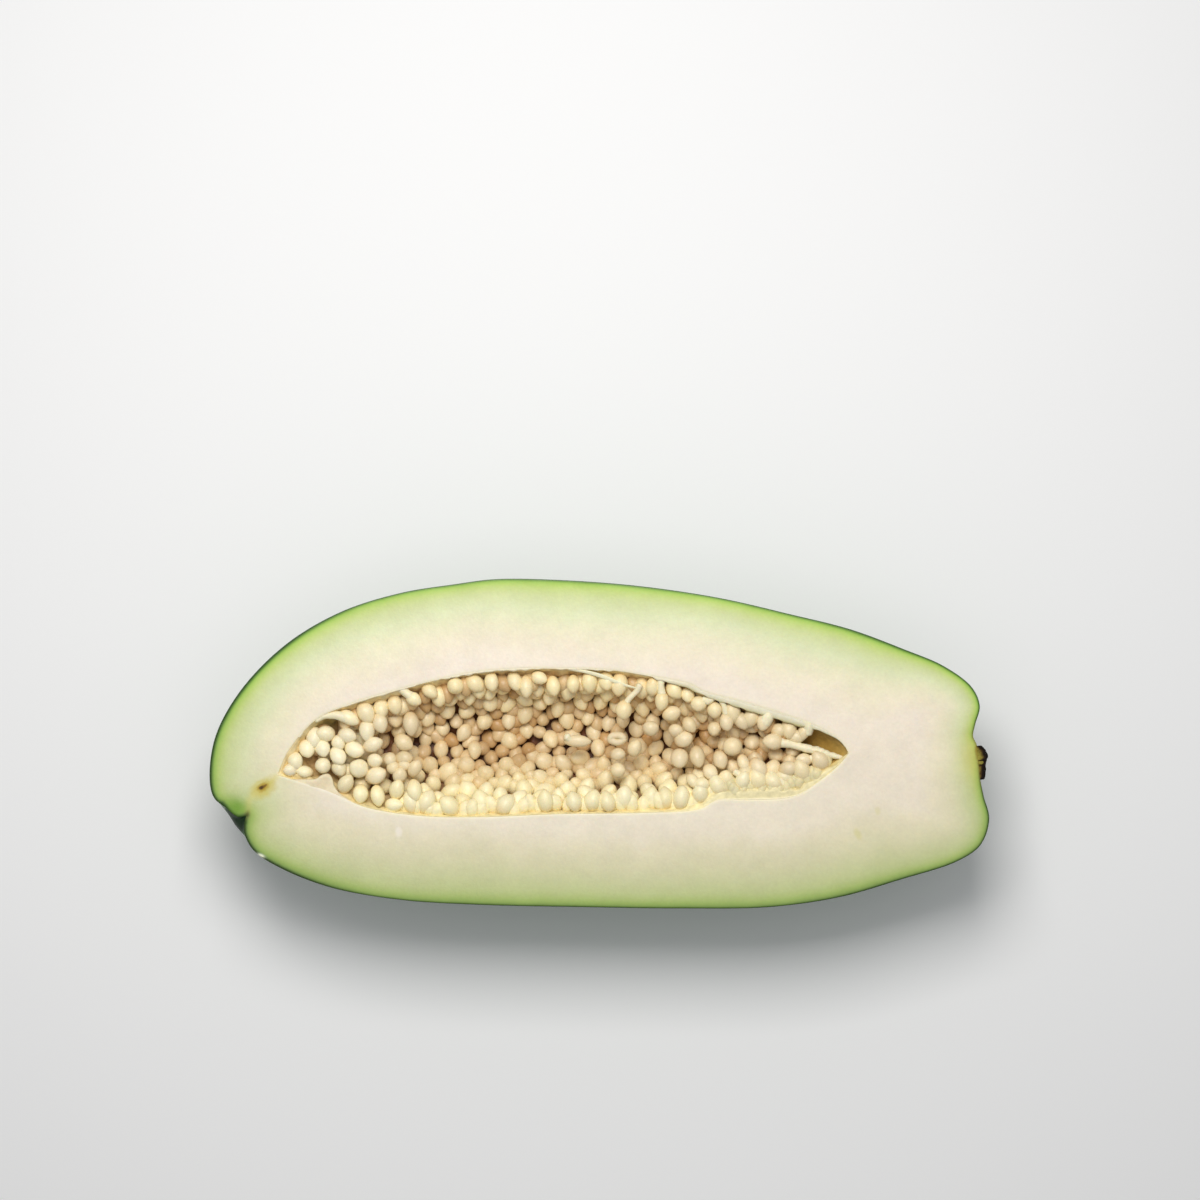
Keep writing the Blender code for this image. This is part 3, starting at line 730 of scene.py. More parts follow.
# Single seeds that stand out: where in the picture, how far under the cut face, length and
# width in millimetres, the way its tip points (degrees from +X in the face, degrees up) and
# how much brighter it is
NOTABLE_SEEDS = (
    ((624, 710), 2.9, 7.4, 5.6, -92, 8, 1.04), ((662, 701), 2.7, 7.0, 5.0, -95, 5, 1.02),
    ((539, 678), 2.6, 6.4, 4.8, -20, 25, 1.05), ((553, 686), 2.8, 7.6, 5.2, -80, 10, 1.05),
    ((573, 684), 2.9, 6.6, 5.0, -88, 10, 1.0), ((526, 687), 3.2, 8.4, 4.9, -88, 8, 0.98),
    ((455, 686), 2.9, 6.4, 6.2, -80, 60, 1.06), ((413, 699), 2.6, 6.2, 5.0, -30, 10, 1.08),
    ((348, 718), 2.7, 8.2, 5.2, -28, 6, 1.05), ((410, 724), 5.0, 9.0, 6.0, -85, 10, 0.99),
    ((402, 743), 5.4, 7.8, 5.8, -35, 15, 1.0), ((366, 730), 4.4, 8.8, 5.8, -88, 20, 1.03),
    ((353, 750), 4.0, 8.0, 6.0, -20, 30, 1.06), ((358, 769), 3.6, 7.4, 7.0, 60, 60, 1.06),
    ((375, 776), 3.8, 8.6, 6.2, 25, 25, 1.05), ((337, 756), 3.6, 7.6, 5.6, -60, 30, 1.07),
    ((306, 749), 3.0, 7.2, 5.8, -70, 30, 1.06), ((321, 748), 3.4, 7.6, 5.4, -65, 30, 1.06),
    ((325, 734), 3.4, 7.2, 6.0, 180, 30, 1.0), ((346, 736), 4.2, 7.4, 5.6, -15, 20, 0.98),
    ((699, 704), 3.0, 6.2, 5.8, -80, 40, 1.03), ((715, 710), 3.2, 6.4, 5.6, -80, 30, 1.03),
    ((727, 722), 3.0, 6.8, 5.2, -85, 20, 1.06), ((742, 721), 4.0, 7.0, 5.2, -60, 15, 0.97),
    ((764, 722), 2.6, 6.4, 5.2, -100, 15, 1.12), ((774, 742), 3.0, 8.0, 5.6, 178, 12, 1.07),
    ((805, 760), 2.9, 6.4, 4.9, 175, 20, 1.07), ((733, 747), 3.8, 7.4, 7.0, -60, 50, 1.03),
    ((577, 742), 6.5, 10.2, 4.3, -3, 5, 0.98), ((684, 740), 5.6, 7.4, 6.0, 20, 30, 1.0),
    ((680, 759), 5.4, 8.2, 6.4, -85, 40, 1.0), ((698, 757), 5.4, 8.4, 5.8, -80, 25, 1.0),
    ((759, 768), 3.2, 8.2, 5.8, -55, 20, 1.05), ((806, 728), 3.6, 6.0, 4.4, -100, 10, 1.0),
    ((289, 758), 2.6, 6.8, 5.6, -70, 20, 1.0), ((288, 773), 2.4, 5.6, 4.6, 200, 35, 1.0),
    ((304, 772), 2.5, 6.4, 4.6, 170, 10, 1.03), ((322, 766), 3.1, 6.4, 5.8, -90, 50, 0.98),
    ((338, 769), 4.6, 6.4, 5.6, -60, 30, 0.82), ((337, 743), 4.4, 6.0, 5.2, -60, 30, 1.0),
    ((372, 745), 3.8, 7.8, 5.6, 20, 10, 1.0), ((374, 761), 3.7, 6.4, 5.2, 0, 40, 1.03),
    ((389, 760), 4.6, 5.6, 4.8, -60, 40, 0.97), ((392, 768), 3.8, 5.4, 4.8, -60, 40, 1.02),
    ((403, 759), 5.0, 7.0, 5.2, 0, 20, 0.92), ((403, 766), 4.0, 5.6, 4.0, 0, 20, 1.0),
    ((359, 796), 2.7, 7.0, 5.8, -88, 20, 1.04), ((377, 796), 2.6, 7.8, 5.5, -80, 15, 1.06),
    ((344, 786), 2.6, 8.2, 5.6, 60, 20, 0.98), ((396, 790), 2.7, 7.8, 5.4, 75, 20, 1.05),
    ((399, 776), 3.2, 6.2, 5.2, 75, 20, 1.02), ((393, 807), 2.4, 6.8, 5.0, 0, 15, 1.08),
    ((414, 791), 2.6, 8.2, 5.6, -80, 10, 1.08), ((414, 769), 3.2, 7.0, 5.0, 60, 20, 1.05),
    ((379, 723), 4.0, 7.6, 5.6, -70, 10, 0.98), ((651, 729), 4.8, 6.4, 5.8, 20, 30, 1.02),
    ((635, 749), 4.8, 6.8, 5.4, 70, 20, 1.02), ((618, 755), 4.8, 5.8, 4.8, 0, 30, 1.0),
    ((618, 771), 4.0, 6.2, 5.4, 0, 40, 1.02), ((690, 725), 4.6, 6.4, 5.0, -60, 20, 1.02),
    ((676, 731), 5.4, 5.8, 4.8, 0, 30, 0.98), ((672, 714), 4.4, 7.2, 5.8, 20, 20, 1.0),
    ((715, 729), 5.2, 5.8, 5.0, -90, 40, 0.98), ((721, 760), 4.6, 7.0, 5.4, -70, 20, 1.05),
    ((744, 763), 3.8, 6.6, 4.4, -70, 20, 1.06), ((711, 773), 3.6, 6.8, 5.2, -60, 20, 1.05),
    ((726, 779), 3.2, 6.6, 5.4, 80, 30, 1.05), ((789, 769), 2.8, 7.6, 5.4, 10, 10, 0.98),
    ((780, 731), 4.4, 6.6, 5.4, 10, 20, 0.98), ((797, 737), 3.8, 7.0, 5.0, 0, 10, 0.98),
    ((693, 781), 3.4, 6.0, 4.6, -60, 30, 1.05), ((702, 785), 2.7, 6.0, 5.4, 20, 30, 1.08),
    ((688, 695), 4.4, 6.2, 5.0, -80, 30, 0.95),
)


def icosphere():
    """The points and faces of a ball of radius 1."""
    bm = bmesh.new()
    bmesh.ops.create_icosphere(bm, subdivisions=3, radius=1.0)
    points = np.array([v.co for v in bm.verts])
    faces = np.array([[v.index for v in f.verts] for f in bm.faces])
    bm.free()
    return points, faces


BALL = icosphere()


def turned_to(way, roll):
    """A turn that brings +Z to way, after a roll about it."""
    way = way / norm(way)
    helper = np.array([1.0, 0.0, 0.0]) if abs(way[0]) < 0.8 else np.array([0.0, 1.0, 0.0])
    x = np.cross(helper, way)
    x /= norm(x)
    y = np.cross(way, x)
    c, s = math.cos(roll), math.sin(roll)
    return np.column_stack([x * c + y * s, y * c - x * s, way])


def seed(centre, way, length, width, tint):
    """One seed: an uneven egg with a blunt tip towards way, darker and warmer at its stalk end."""
    ball, faces = BALL
    height = ball[:, 2]
    lumps = 1.0 + 0.035 * wobble(ball, 1.9, own_seed(), waves=4)
    tip = unit(height)
    p = ball.copy()
    p[:, :2] *= (1.0 - 0.12 * tip**2 - 0.05 * unit(-height))[:, None]
    p[:, 2] += 0.07 * np.exp(-((1.0 - tip) / 0.06)) * (height > 0.0)
    p *= lumps[:, None]
    oval = varied(0.05)
    p *= (width / 2.0 * oval, width / 2.0 / oval, length / 2.0)
    p = p @ turned_to(np.asarray(way, float), draw.uniform(0.0, 6.3)).T + centre
    foot = unit(-height - 0.2)[:, None]
    point = np.exp(-((1.0 - height) / 0.05))[:, None]
    shade = (1.0 - 0.22 * foot * [0.5, 1.0, 1.7]) * (1.0 - 0.14 * point * [0.6, 1.0, 1.5])
    return p, faces, tint * shade


def seed_tint(place, painted_shade):
    """Cream, with painted light by both rims and at the blossom end, painted shade on the under
    layer, and never twice the same.
    """
    x, y = place[0], place[1]
    low_rim = rise(y, -9.5, -18.5)
    # painted light: lighter along the lower rim, at the blossom end and under the upper rim, where
    # its shadow falls; painted shade: darker and warmer on the under layer's seeds
    base = painted(
        linear((240, 220, 178)), ((255, 242, 198), low_rim),
        ((255, 242, 204), rise(x, -74.0, -88.0) * (1.0 - low_rim)),
        ((255, 236, 188), rise(y, 8.0, 18.0)), ((186, 140, 80), painted_shade))
    warm, light = draw.uniform(-1.0, 1.0), draw.uniform(-1.0, 1.0)
    return base * (1.0 + 0.05 * light) * (1.0, 1.0 - 0.01 * warm, 1.0 - 0.05 * warm)


def bare(place):
    """True where no seed lies on top: the pits, the stem tip, a small pocket and the sheet."""
    x, y = place[0], place[1]
    in_pit = any(math.dist((x, y), in_photo(*at)) < radius for at, radius in PITS)
    stem_tip = x > 73.0 and y > -7.5
    pocket = -101.5 < x < -94.0 and 5.0 < y < 11.0
    sheet = x < SHEET_EDGE[0][-1] and y < SHEET_MARGIN + np.interp(x, *SHEET_EDGE)
    return in_pit or stem_tip or pocket or sheet


def emptiest(bed, count, taken):
    """Places spread over the bed, each next one where the bed is emptiest."""
    emptiness = np.full(len(bed), FAR) + draw.uniform(0.0, 1.0, len(bed))
    for other in taken:
        emptiness = np.minimum(emptiness, norm(bed - other, axis=1))
    picks = []
    while len(picks) < count:
        pick = int(emptiness.argmax())
        emptiness = np.minimum(emptiness, norm(bed - bed[pick], axis=1))
        picks.append(pick)
    return picks


def nearest_of(points, sites):
    """For each point, the number of the nearest site."""
    return (-2.0 * points @ sites.T + (sites**2).sum(axis=1)[None, :]).argmin(axis=1)


def evened_out(bed, areas, picks, fixed, rounds):
    """Moves the picked places towards the middle of the ground that is nearest to them."""
    for _ in range(rounds):
        sites = np.vstack([bed[picks], fixed])
        owner = nearest_of(bed, sites)
        total = np.bincount(owner, areas, len(sites))
        middle = np.column_stack([np.bincount(owner, areas * bed[:, k], len(sites))
                                  for k in range(3)]) / np.maximum(total, TINY)[:, None]
        picks = [int(((bed - m) ** 2).sum(axis=1).argmin()) for m in middle[:len(picks)]]
    return picks


def bed_over(shares, sides, deep, rim):
    """The surface that seeds' middles lie on: deep over the bottom, closer to the rims."""
    low = cavity_rings(shares, sides, inset=lambda half: half**2 / (half + deep))
    high = cavity_rings(shares, sides, inset=lambda half: half**2 / (half + rim))
    blend = np.sin(half_turn(sides)) ** 0.8
    return high + (low - high) * blend[None, :, None]


def wall_tree():
    """The cavity's wall, for finding what is nearest on it."""
    rings = cavity_rings(stations(120), 40)
    quads = grid_faces(*rings.shape[:2], flip=True)
    return BVHTree.FromPolygons([Vector(p) for p in rings.reshape(-1, 3)], quads.tolist())


def off_wall(points, tree, gap):
    """The move that clears these points of the wall by gap."""
    worst, push = 0.0, np.zeros(3)
    for point in points:
        nearest, normal, _, distance = tree.find_nearest(Vector(point))
        if (Vector(point) - nearest).dot(normal) < 0.0:
            distance = -distance
        if gap - distance > worst:
            worst, push = gap - distance, np.array(normal) * (gap - distance)
    return push


def pushed_apart(centres, widths, loose, rounds=14):
    """Moves the loose seeds so that their middles are nearly a width apart."""
    centres = np.array(centres)
    for _ in range(rounds):
        between = centres[:, None, :] - centres[None, :, :]
        apart = norm(between, axis=2) + np.eye(len(centres)) * FAR
        wanted = SPACING * (widths[:, None] + widths[None, :]) / 2.0
        short = np.clip(wanted - apart, 0.0, None)
        move = (between / apart[:, :, None] * short[:, :, None]).sum(axis=1) * 0.35
        centres += np.clip(move, -0.6, 0.6) * loose[:, None]
        z = centres[:, 2]
        centres[:, 2] = np.where(loose, np.minimum(z, HIGHEST_MIDDLE), z)
    return centres


def placed_seeds():
    """The listed seeds: their centres, and (way, length, width, painted shade, light) each."""
    centres, shapes = [], []
    for at, depth, length, width, turn, up, light in NOTABLE_SEEDS:
        turn, up = math.radians(turn), math.radians(up)
        way = (math.cos(turn) * math.cos(up), math.sin(turn) * math.cos(up), math.sin(up))
        centres.append(under_face(at, depth))
        shapes.append((way, length, width, 0.0, light))
    return centres, shapes


def add_layer(centres, shapes, layer, top):
    """Adds one layer of seeds, spread over what the others leave free."""
    deep, rim, count, rounds, painted_shade = layer
    shares, sides = np.linspace(0.004, 0.996, 240), 56
    wall = cavity_rings(shares, sides).reshape(-1, 3)
    bed = bed_over(shares, sides, deep, rim)
    areas = norm(grid_cross(bed), axis=2).ravel()
    bed = bed.reshape(-1, 3)
    picks = emptiest(bed, count, centres)
    for pick in evened_out(bed, areas, picks, centres, rounds):
        inward = bed[pick] - wall[pick]
        z, low = bed[pick][2], rise(bed[pick][1], -4.0, -10.0)
        hidden = z > -5.0 - 9.0 * low or bare(bed[pick]) and z > -14.0
        if norm(inward) < 0.4 or (bare(bed[pick]) if top else hidden):
            continue
        inward = inward / norm(inward)
        size = (1.06 + 0.10 * low if top else 1.0) + 0.10 * draw.uniform(-1.0, 1.0)
        at_rim = max(1.0 - inward[2] * 2.2, 0.0)
        centre = bed[pick] + inward * draw.uniform(-1.4, 0.9) + draw.uniform(-0.5, 0.5, 3)
        centre += np.array((draw.uniform(-1.4, 1.4), 0.0, -draw.uniform(0.0, 6.0))) * at_rim
        width = SEED_WIDTH * size * varied(0.05)
        hang = rise(centre[1], -10.0, 2.0)
        way = inward * (1.0 - 0.3 * hang) + np.array((0.0, -0.75 * hang, 0.0))
        way = way + 0.45 * draw.normal(size=3) * (1.0, 1.0, 0.7)
        # painted shade on the under layer's seeds: random from seed to seed, less towards the lower
        # rim
        shade_amount = painted_shade * draw.uniform(0.15, 0.85) * (1.0 - 0.5 * rise(centre[1], -5.0, -13.0))
        centres.append(centre)
        shapes.append((way, SEED_LENGTH * size, width, shade_amount, 1.0))


def make_seeds():
    """Every seed: those listed, a loose layer round them and one below darkened with painted shade.
    """
    centres, shapes = placed_seeds()
    add_layer(centres, shapes, TOP_LAYER, top=True)
    loose = np.arange(len(centres)) >= len(NOTABLE_SEEDS)
    centres = list(pushed_apart(centres, np.array([shape[2] for shape in shapes]), loose))
    add_layer(centres, shapes, UNDER_LAYER, top=False)
    tree, parts = wall_tree(), []
    for number, (centre, shape) in enumerate(zip(centres, shapes)):
        way, length, width, painted_shade, light = shape
        tint = seed_tint(centre, painted_shade) * light
        points, faces, tint = seed(centre, way, length, width, tint)
        push = off_wall(points[::5], tree, WALL_GAP)
        # generic seeds by the upper rim stay below the face, and the others may just pass it
        rim = np.interp(centre[0], CAVITY_UPPER[::-1, 0], CAVITY_UPPER[::-1, 1])
        free = number < len(NOTABLE_SEEDS) or rim - centre[1] > RIM_BAND
        limit = HIGHEST_TOP if free else HIGHEST_TOP_BY_RIM
        push[2] -= max((points[:, 2] + push[2]).max() - limit, 0.0)
        parts.append((points + push, faces, tint))
    seeds = add_piece("papaya_seeds", parts, (SEED_FINISH,))
    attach(seeds, "root")
    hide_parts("seeds")


# Stalks, skin and pulp in the cavity

# Stalks and strands: the picture places they pass and their depths, and their half widths
# in millimetres from end to end
STALKS = (
    (((640, 685), (637, 691), (630, 698), (626, 704)), (1.4, 1.9, 2.4, 2.9), (1.2, 1.0, 1.2)),
    (((661, 675), (661, 685), (662, 694)), (2.2, 2.0, 2.6), (1.6, 1.2, 1.5)),
    (((721, 696), (724, 705), (727, 714)), (2.4, 2.2, 2.9), (1.5, 1.1, 1.4)),
    (((770, 714), (768, 718), (765, 723)), (1.6, 1.6, 2.2), (1.9, 2.2, 2.3)),
    (((703, 699), (708, 701), (714, 698)), (2.0, 1.8, 2.0), (1.1, 1.5, 1.0)),
    (((848, 760), (840, 757.5), (829, 754.5), (818, 751), (806, 748.5), (793, 745), (781, 743)),
     (2.0, 2.3, 2.5, 2.7, 3.0, 3.1, 3.1), (0.6, 0.9, 1.2, 1.5, 1.5, 1.4, 1.7)),
    (((829, 755), (821, 757.5), (813, 759), (806, 760)), (2.8, 2.7, 2.6, 2.8),
     (0.8, 1.2, 1.3, 1.5)),
    (((786, 719), (796, 718.5), (804, 720), (809, 726), (808, 734)),
     (2.0, 1.8, 1.8, 2.0, 2.8), (1.0, 1.4, 1.8, 2.1, 1.8)),
    (((399, 687), (406, 693), (412, 698)), (2.2, 2.0, 2.2), (1.7, 1.6, 1.9)),
    (((315, 721), (324, 716), (336, 715.5), (348, 719)), (1.4, 1.5, 1.8, 2.3),
     (0.9, 1.2, 1.6, 2.0)),
    (((566, 737), (571, 741), (580, 742)), (5.4, 6.2, 6.6), (1.4, 1.1, 1.0)),
    (((735, 772), (745, 778), (754, 785)), (2.9, 2.6, 2.2), (1.2, 1.4, 1.0)),
    (((771, 774), (779, 780), (787, 787)), (2.6, 2.4, 2.0), (1.2, 1.5, 1.1)),
)

# The opened seed: its middle, its two radii and its thickness
OPENED_SEED = (under_face((617, 739.5), 6.0), (2.35, 1.3), 1.3)

# Places in the picture and depths: the strip peeled off the upper rim, and the two edges of the
# torn sheet that hides the blossom tip's lowest seeds
PEELED_STRIP = (
    ((568, 668.6), 0.3), ((585, 670.0), 0.35), ((600, 673.5), 0.5), ((613, 678.5), 0.7),
    ((626, 684), 0.9), ((640, 688.5), 1.3),
)
SHEET_UPPER = (
    ((277, 777.5), 0.15), ((290, 779), 0.25), ((303, 779.5), 0.3), ((315, 779), 0.4),
    ((321.5, 775), 0.6), ((328, 774), 0.8), ((332, 779), 0.9), ((334, 786), 0.9),
    ((340, 794), 0.7), ((353, 802.5), 0.4),
)
SHEET_LOWER = tuple((at, 0.12) for at in (
    (276, 779), (288, 781.5), (299, 785), (308, 788), (316, 791), (323, 793), (330, 796),
    (337, 799), (345, 802), (354, 804.5)))
LIP_LEVEL = -0.12


def make_stalks():
    """The thick pale stalks that a few seeds still hang from, and an opened seed."""
    parts = []
    for places, depths, radii in STALKS:
        points, faces = tube(route(zip(places, depths)), radii, steps=7)
        points += 0.12 * wobble(points, 2.2, own_seed())[:, None]
        tint = linear((247, 236, 200)) * varied(0.03)
        parts.append((points, faces, tint))
    middle, (across, up), thickness = OPENED_SEED
    turn = np.linspace(0.0, 2.0 * math.pi, 25)
    ring = np.column_stack([across * np.cos(turn), up * np.sin(turn), 0.3 * np.cos(turn)])
    points, faces = tube(ring + middle, np.full(len(turn), thickness))
    points += 0.12 * wobble(points, 2.5, 64)[:, None]
    parts.append((points, faces, linear((234, 216, 178))))
    piece = add_piece("seed_stalks", parts, (PULP_FINISH,), closed=True)
    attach(piece, "root")


def ribbon(path, widths, drops, thickness=0.3, across=5):
    """A thin curled band: from each point of its edge, widths inward and drops down."""
    path = np.asarray(path, float)
    way = np.gradient(path, axis=0)
    way /= np.maximum(norm(way, axis=1), TINY)[:, None]
    side = np.cross((0.0, 0.0, 1.0), way)
    share = np.linspace(0.0, 1.0, across)
    top = path[:, None, :] + side[:, None, :] * (widths[:, None] * np.sin(share * 1.45))[:, :, None]
    top[:, :, 2] -= drops[:, None] * (1.0 - np.cos(share * 1.5))[None, :]
    return slab(top, thickness, (0, across - 1))


def make_membrane():
    """The skin of the cavity: a pale band under its upper rim, peeled off in one place."""
    rim = along(CAVITY_UPPER, np.linspace(0.012, 0.93, 440))
    path = np.column_stack([rim, np.full(len(rim), LIP_LEVEL)])
    x = rim[:, 0]
    uneven = 0.5 * wobble(rim, 11.0, 61) + 0.4 * wobble(rim, 4.5, 62)
    broad = 0.7 * rise(x, -5.0, 25.0) + 1.5 * bell((x - 58.0) / 20.0)
    scallop = 1.6 * bell((x + 62.5) / 3.0) + 1.3 * bell((x + 99.0) / 4.5)
    peeled = unit(np.minimum(x - 3.5, 21.0 - x) / 2.0)
    widths = np.clip(0.45 + broad + uneven * 0.7 - scallop, 0.15, None)
    widths *= (1.0 - 0.85 * peeled) * np.clip((89.5 - x) / 14.0, 0.2, 1.0)
    points, faces = ribbon(path, widths, np.clip(0.55 + 0.5 * uneven, 0.15, None))
    inner = unit((LIP_LEVEL - points[:, 2]) / 0.5)
    shaded = rise(points[:, 0], 20.0, 36.0)
    tint = painted(linear((254, 241, 208)) + 0.0 * points,
                   ((238, 229, 202), shaded), ((208, 197, 142), shaded * inner))
    parts = [(points, faces, tint)]
    strip = smooth_path(route(PEELED_STRIP), 12)
    widths = 0.5 + np.sin(math.pi * unit(np.linspace(0.0, 1.0, len(strip)) * 1.05)) ** 0.8
    points, faces = ribbon(strip[::-1], widths[::-1], np.full(len(strip), 0.6))
    parts.append((points, faces, linear((252, 243, 205))))
    piece = add_piece("rim_membrane", parts, (PULP_FINISH,), closed=True)
    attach(piece, "root")


def sunk_seeds():
    """Seeds sunk in pale pulp, along the lower rim and on the shelf at the stem end."""
    parts = []
    for share in (*np.linspace(0.27, 0.80, 35), *np.linspace(0.06, 0.26, 14),
                  *np.linspace(0.07, 0.25, 13)):
        rim = along(CAVITY_LOWER, [share + draw.uniform(-0.006, 0.006)])[0]
        shelf = rim[0] > 44.0
        across = draw.uniform(1.6, 3.6) + (3.0 * draw.uniform() if shelf else 0.5)
        sunk = 1.5 + 0.35 * across if shelf else 2.6 + 0.3 * across + draw.uniform(0.0, 1.4)
        place = np.array([rim[0], rim[1] + across, -sunk])
        way = (draw.uniform(-0.5, 0.5), 1.0, 0.1 if shelf else draw.uniform(0.0, 0.7))
        tint = linear((231, 217, 170) if shelf else (255, 241, 196))
        tint = tint * varied(0.03)
        larger = 0.0 if shelf else 0.7
        length = draw.uniform(5.4, 7.4) + larger
        width = draw.uniform(4.2, 5.2) + 0.5 * larger
        points, faces, tint = seed(place, way, length, width, tint)
        points = points + 0.12 * wobble(points, 3.0, own_seed(), 4)[:, None]
        points[:, 2] = np.minimum(points[:, 2], -0.25)
        parts.append((points, faces, tint))
    return parts


def torn_sheet():
    """The thin sheet of pulp over the blossom tip's lowest seeds."""
    upper, lower = (smooth_path(route(edge), 8)[:, None] for edge in (SHEET_UPPER, SHEET_LOWER))
    blend = np.linspace(0.0, 1.0, 12)[None, :, None]
    sheet = lower * (1.0 - blend) + upper * blend
    bulge = 0.22 * wobble(sheet, 9.0, 71) + 0.08 * wobble(sheet, 3.5, 72)
    sheet[:, :, 2] += bulge * np.sin(blend[:, :, 0] * math.pi) ** 0.7
    sheet[:, -1, 2] -= 0.5
    sheet[:, :, 2] = np.minimum(sheet[:, :, 2], LIP_LEVEL)
    points, faces = slab(sheet, 0.5, (sheet.shape[1] - 1,), flip=True)
    patchy = unit(0.5 + 0.5 * wobble(points, 7.0, 73))
    return points, faces, painted(linear((238, 224, 192)) + 0.0 * points, ((226, 208, 172), patchy))


def make_pulp():
    """Pale pulp: the seeds sunk in it and the torn sheet."""
    parts = [*sunk_seeds(), torn_sheet()]
    piece = add_piece("cavity_pulp", parts, (PULP_FINISH,), closed=True)
    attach(piece, "root")


# The bed's colours by depth, darkening with painted shade; the hollow under the torn sheet; and
# the pocket's painted olive shadow
BED_SHADES = (
    (0.0, (244, 230, 176)), (2.5, (224, 200, 132)), (6.0, (190, 150, 90)),
    (12.0, (144, 92, 50)), (26.0, (100, 56, 28)),
)
SHEET_HOLLOW = (in_photo(304, 783), 13.0, 3.2, -0.3)
POCKET_SHADOW = (in_photo(326, 723), 5.0, 2.6, 0.4)


def make_bed():
    """The soft bed the seeds sit in: pale pulp by the rims, darker deep down with painted shade."""
    shares, sides = stations(300, 0.003, 0.997), 70
    rings = cavity_rings(shares, sides)
    half = norm(rings[:, 0] - rings[:, -1], axis=1) / 2.0
    angles = half_turn(sides)
    low_side = rise(angles, 0.62 * math.pi, 0.92 * math.pi)[None, :]
    stem_tip = rise(rings[:, :, 0], 66.0, 72.0) * (1.0 - low_side)
    to_rim = unit(np.minimum(angles / 0.25, (math.pi - angles) / 0.55))
    thick = 1.4 + 0.6 * wobble(rings, 8.0, 41) + 0.35 * wobble(rings, 3.2, 42)
    thick += 0.9 * low_side * (1.0 + 0.6 * wobble(rings, 5.0, 43))
    thick *= 1.0 - 0.8 * stem_tip
    thick = np.clip(thick, 0.3, None) * rise(half, 0.0, 6.0)[:, None] * to_rim[None, :]
    rings = rings + normals_of(rings) * (thick + 0.05)[:, :, None]
    rings[:, (0, -1), 2] = -0.45
    rings[:, :, 2] = np.minimum(rings[:, :, 2], -0.3 - 2.0 * spot(rings, *SHEET_HOLLOW))
    x, y, depth = rings[:, :, 0], rings[:, :, 1], -rings[:, :, 2]
    upper_rim = rise(angles, 1.0, 0.5)[None, :]
    # painted shade: darker with depth, over the bed's own orange-tan; painted light: lighter under
    # the upper rim, against its shadow; paler along the lower rim, towards the blossom end and on
    # the shelf; painted olive shadow at the cavity's stem tip and in the pocket
    tint = painted(
        ramp(depth, BED_SHADES), ((250, 236, 190), 0.8 * upper_rim * bell(depth / 6.0)),
        ((248, 237, 190), 0.85 * rise(y, -10.0, -18.0) * np.exp(-depth / 10.0)),
        ((226, 202, 148), 0.7 * rise(x, -80.0, -92.0) * np.exp(-depth / 14.0)),
        ((238, 225, 176), 0.9 * rise(x, 38.0, 46.0) * rise(y, -8.0, -12.0)),
        ((176, 142, 66), 0.85 * stem_tip), ((166, 152, 88), 0.9 * spot(rings, *POCKET_SHADOW)))
    bed = add_piece("seed_bed", [grid_part(rings, tint)], (BED_FINISH,))
    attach(bed, "root")


# Stalk scar

SCAR_CENTRE = np.array([137.05, -6.9, 0.0])
SCAR_OUT, SCAR_SIDE = np.array([0.994, 0.105, 0.0]), np.array([-0.105, 0.994, 0.0])
SCAR_INNER, SCAR_OUTER, SCAR_FOOT = 0.8, 6.0, -0.6
SCAR_HEIGHT, SCAR_LOW_HEIGHT = 3.0, 1.9
SCAR_SHADES = (
    (SCAR_FOOT, (112, 100, 40)), (0.1, (72, 54, 20)), (0.8, (38, 24, 10)), (3.0, (22, 14, 8)),
)
CRUST_SHADES = (
    (0.0, (16, 9, 4)), (1.4, (26, 15, 6)), (1.9, (92, 70, 28)), (2.5, (138, 126, 52)),
    (3.6, (156, 148, 62)),
)


